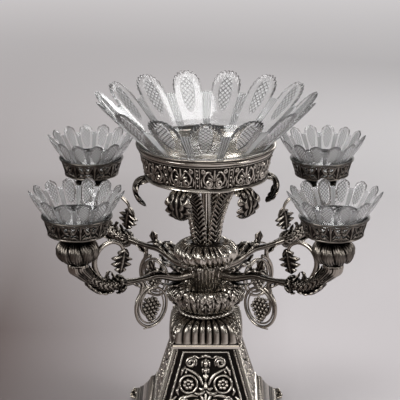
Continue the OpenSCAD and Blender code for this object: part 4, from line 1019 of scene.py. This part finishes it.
# The rim is darkened a little more than the rest of the frame: painted shade over its bright highlight line.
dish_frame = tarnish(joined("pierced_frame", [gallery, foot_band, rim_band, floor_plate]), 0.4 * mm, 8,
    lambda p: np.where(p[:, 2] > (frame_foot + 24.6) * mm, 0.5, 0.46))
set_out(dish_frame, "dish_frame", "dish_frame")

# The small dishes: the same cut glass as the bowl, with fourteen petals and an oval of cut diamonds on each. Each
# stands on its foot ring in a pierced frame and lifts straight out.
dish_lip, dish_throat = 382.2, 44.6
dish_line = glass_line(dish_throat, radius=66.7, seat=361.0, lip=dish_lip, top=416.2,
    under=((0.6, 0), (0.8, 0.3), (0.93, 0.7)), over=((0.5, 0.46), (1, 1)))
dish = cut_glass("petal_dish", dish_line, dish_lip, wall=3.5, foot=(0.4 * dish_throat, 0.52 * dish_throat, 3),
    petals=14, flutes=3, notch=12, oval=(8, 17, 3), lattice=5.4, cut=0.9, scallops=3, counts=(20, 8, 20), sharp=0.9,
    frost=0.15)
set_out(dish, "dish", "dish", "cut_glass")

# Studio: a wide pale grey floor that fills the picture, painted darker at the near left as a painted shadow and
# glowing more with distance as painted light, soft lamps on both sides, above and behind, and a camera at the
# photograph's height and distance.
scene = bpy.context.scene
scene.view_settings.view_transform = "Standard"
air = bpy.data.worlds.new("studio_air")
air.use_nodes = True
feed(air.node_tree.nodes["Background"], {"Color": (0.3, 0.29, 0.285, 1), "Strength": 0.6})
scene.world = air
bpy.ops.mesh.primitive_plane_add(size=14, location=(0, 3, 0))
floor = bpy.context.object
floor.name = "studio_floor"
paper = bpy.data.materials.new("grey_floor_painted_shade_and_glow")
paper.use_nodes = True
paper_tree = paper.node_tree
new = paper_tree.nodes.new
split = feed(new("ShaderNodeSeparateXYZ"), {"Vector": new("ShaderNodeTexCoord").outputs["Object"]})


def faded(way, start, end, low_colour, high_colour):
    """A colour that changes along one direction of the floor."""
    share = feed(new("ShaderNodeMapRange"), {"Value": split.outputs[way], "From Min": start, "From Max": end})
    tone = new("ShaderNodeMix")
    tone.data_type = "RGBA"
    feed(tone, {"Factor": share.outputs["Result"], "A": low_colour, "B": high_colour})
    return tone.outputs["Result"]


# Painted shadow: the floor colour darkens strongly to the left near the camera; farther back it is only a little
# darker toward the left.
shadowed_near_floor = faded("X", -0.36, 0.15, (0.13, 0.105, 0.1, 1), (0.56, 0.53, 0.54, 1))
middle = faded("X", -0.5, 0.5, (0.41, 0.38, 0.38, 1), (0.52, 0.505, 0.51, 1))
ray = new("ShaderNodeLightPath").outputs
seen = worked(new, "MAXIMUM", ray["Is Camera Ray"], ray["Is Glossy Ray"])
feed(paper_tree.nodes["Principled BSDF"], {
    "Roughness": 0.9, "Specular IOR Level": 0.1, "Base Color": faded("Y", -2.6, -1.6, shadowed_near_floor, middle),
    # Painted light: for camera, glossy and transmission rays the floor glows, from none near the camera to pale grey
    # far back.
    "Emission Color": faded("Y", -1.8, 0.7, (0, 0, 0, 1), (0.5, 0.485, 0.49, 1)),
    "Emission Strength": worked(new, "MAXIMUM", seen, ray["Is Transmission Ray"])})
floor.data.materials.append(paper)
for name, spot, aim, wide, tall, power in (
        ("window_left", (-1.7, -1.3, 1.5), (0, 0, 0.3), 1.0, 1.4, 34),
        ("window_right", (1.9, -0.9, 1.1), (0, 0, 0.3), 0.5, 1.2, 16),
        ("ceiling", (0.2, 0.2, 2.3), (0, 0, 0.3), 1.6, 1.2, 30),
        ("back_strip", (0.6, 2.0, 1.2), (0, 0, 0.4), 1.4, 0.6, 13),
        ("front_fill", (-0.4, -2.7, 1.5), (0, 0, 0.3), 1.6, 1.0, 12)):
    bpy.ops.object.light_add(type="AREA", location=spot)
    lamp = bpy.context.object
    lamp.name = name
    lamp.data.shape = "RECTANGLE"
    lamp.data.size, lamp.data.size_y = wide, tall
    lamp.data.energy = power
    toward = np.array(aim) - np.array(spot)
    lamp.rotation_euler = (math.atan2(math.hypot(toward[0], toward[1]), -toward[2]), 0,
        math.atan2(toward[1], toward[0]) - math.pi / 2)
view_distance, view_rise, view_side = 2.6, math.radians(17.0), math.radians(0.49)
view_target = (-0.0089, 0.0, 0.3585)
photo_pixels, focal_pixels, sensor = 400, 1782.8, 36
bpy.ops.object.camera_add(
    location=(view_target[0] + view_distance * math.cos(view_rise) * math.sin(view_side),
              view_target[1] - view_distance * math.cos(view_rise) * math.cos(view_side),
              view_target[2] + view_distance * math.sin(view_rise)),
    rotation=(math.pi / 2 - view_rise, 0, view_side))
camera = bpy.context.object
camera.data.sensor_width = sensor
camera.data.sensor_fit = "HORIZONTAL"
camera.data.lens = focal_pixels * sensor / photo_pixels
scene.camera = camera
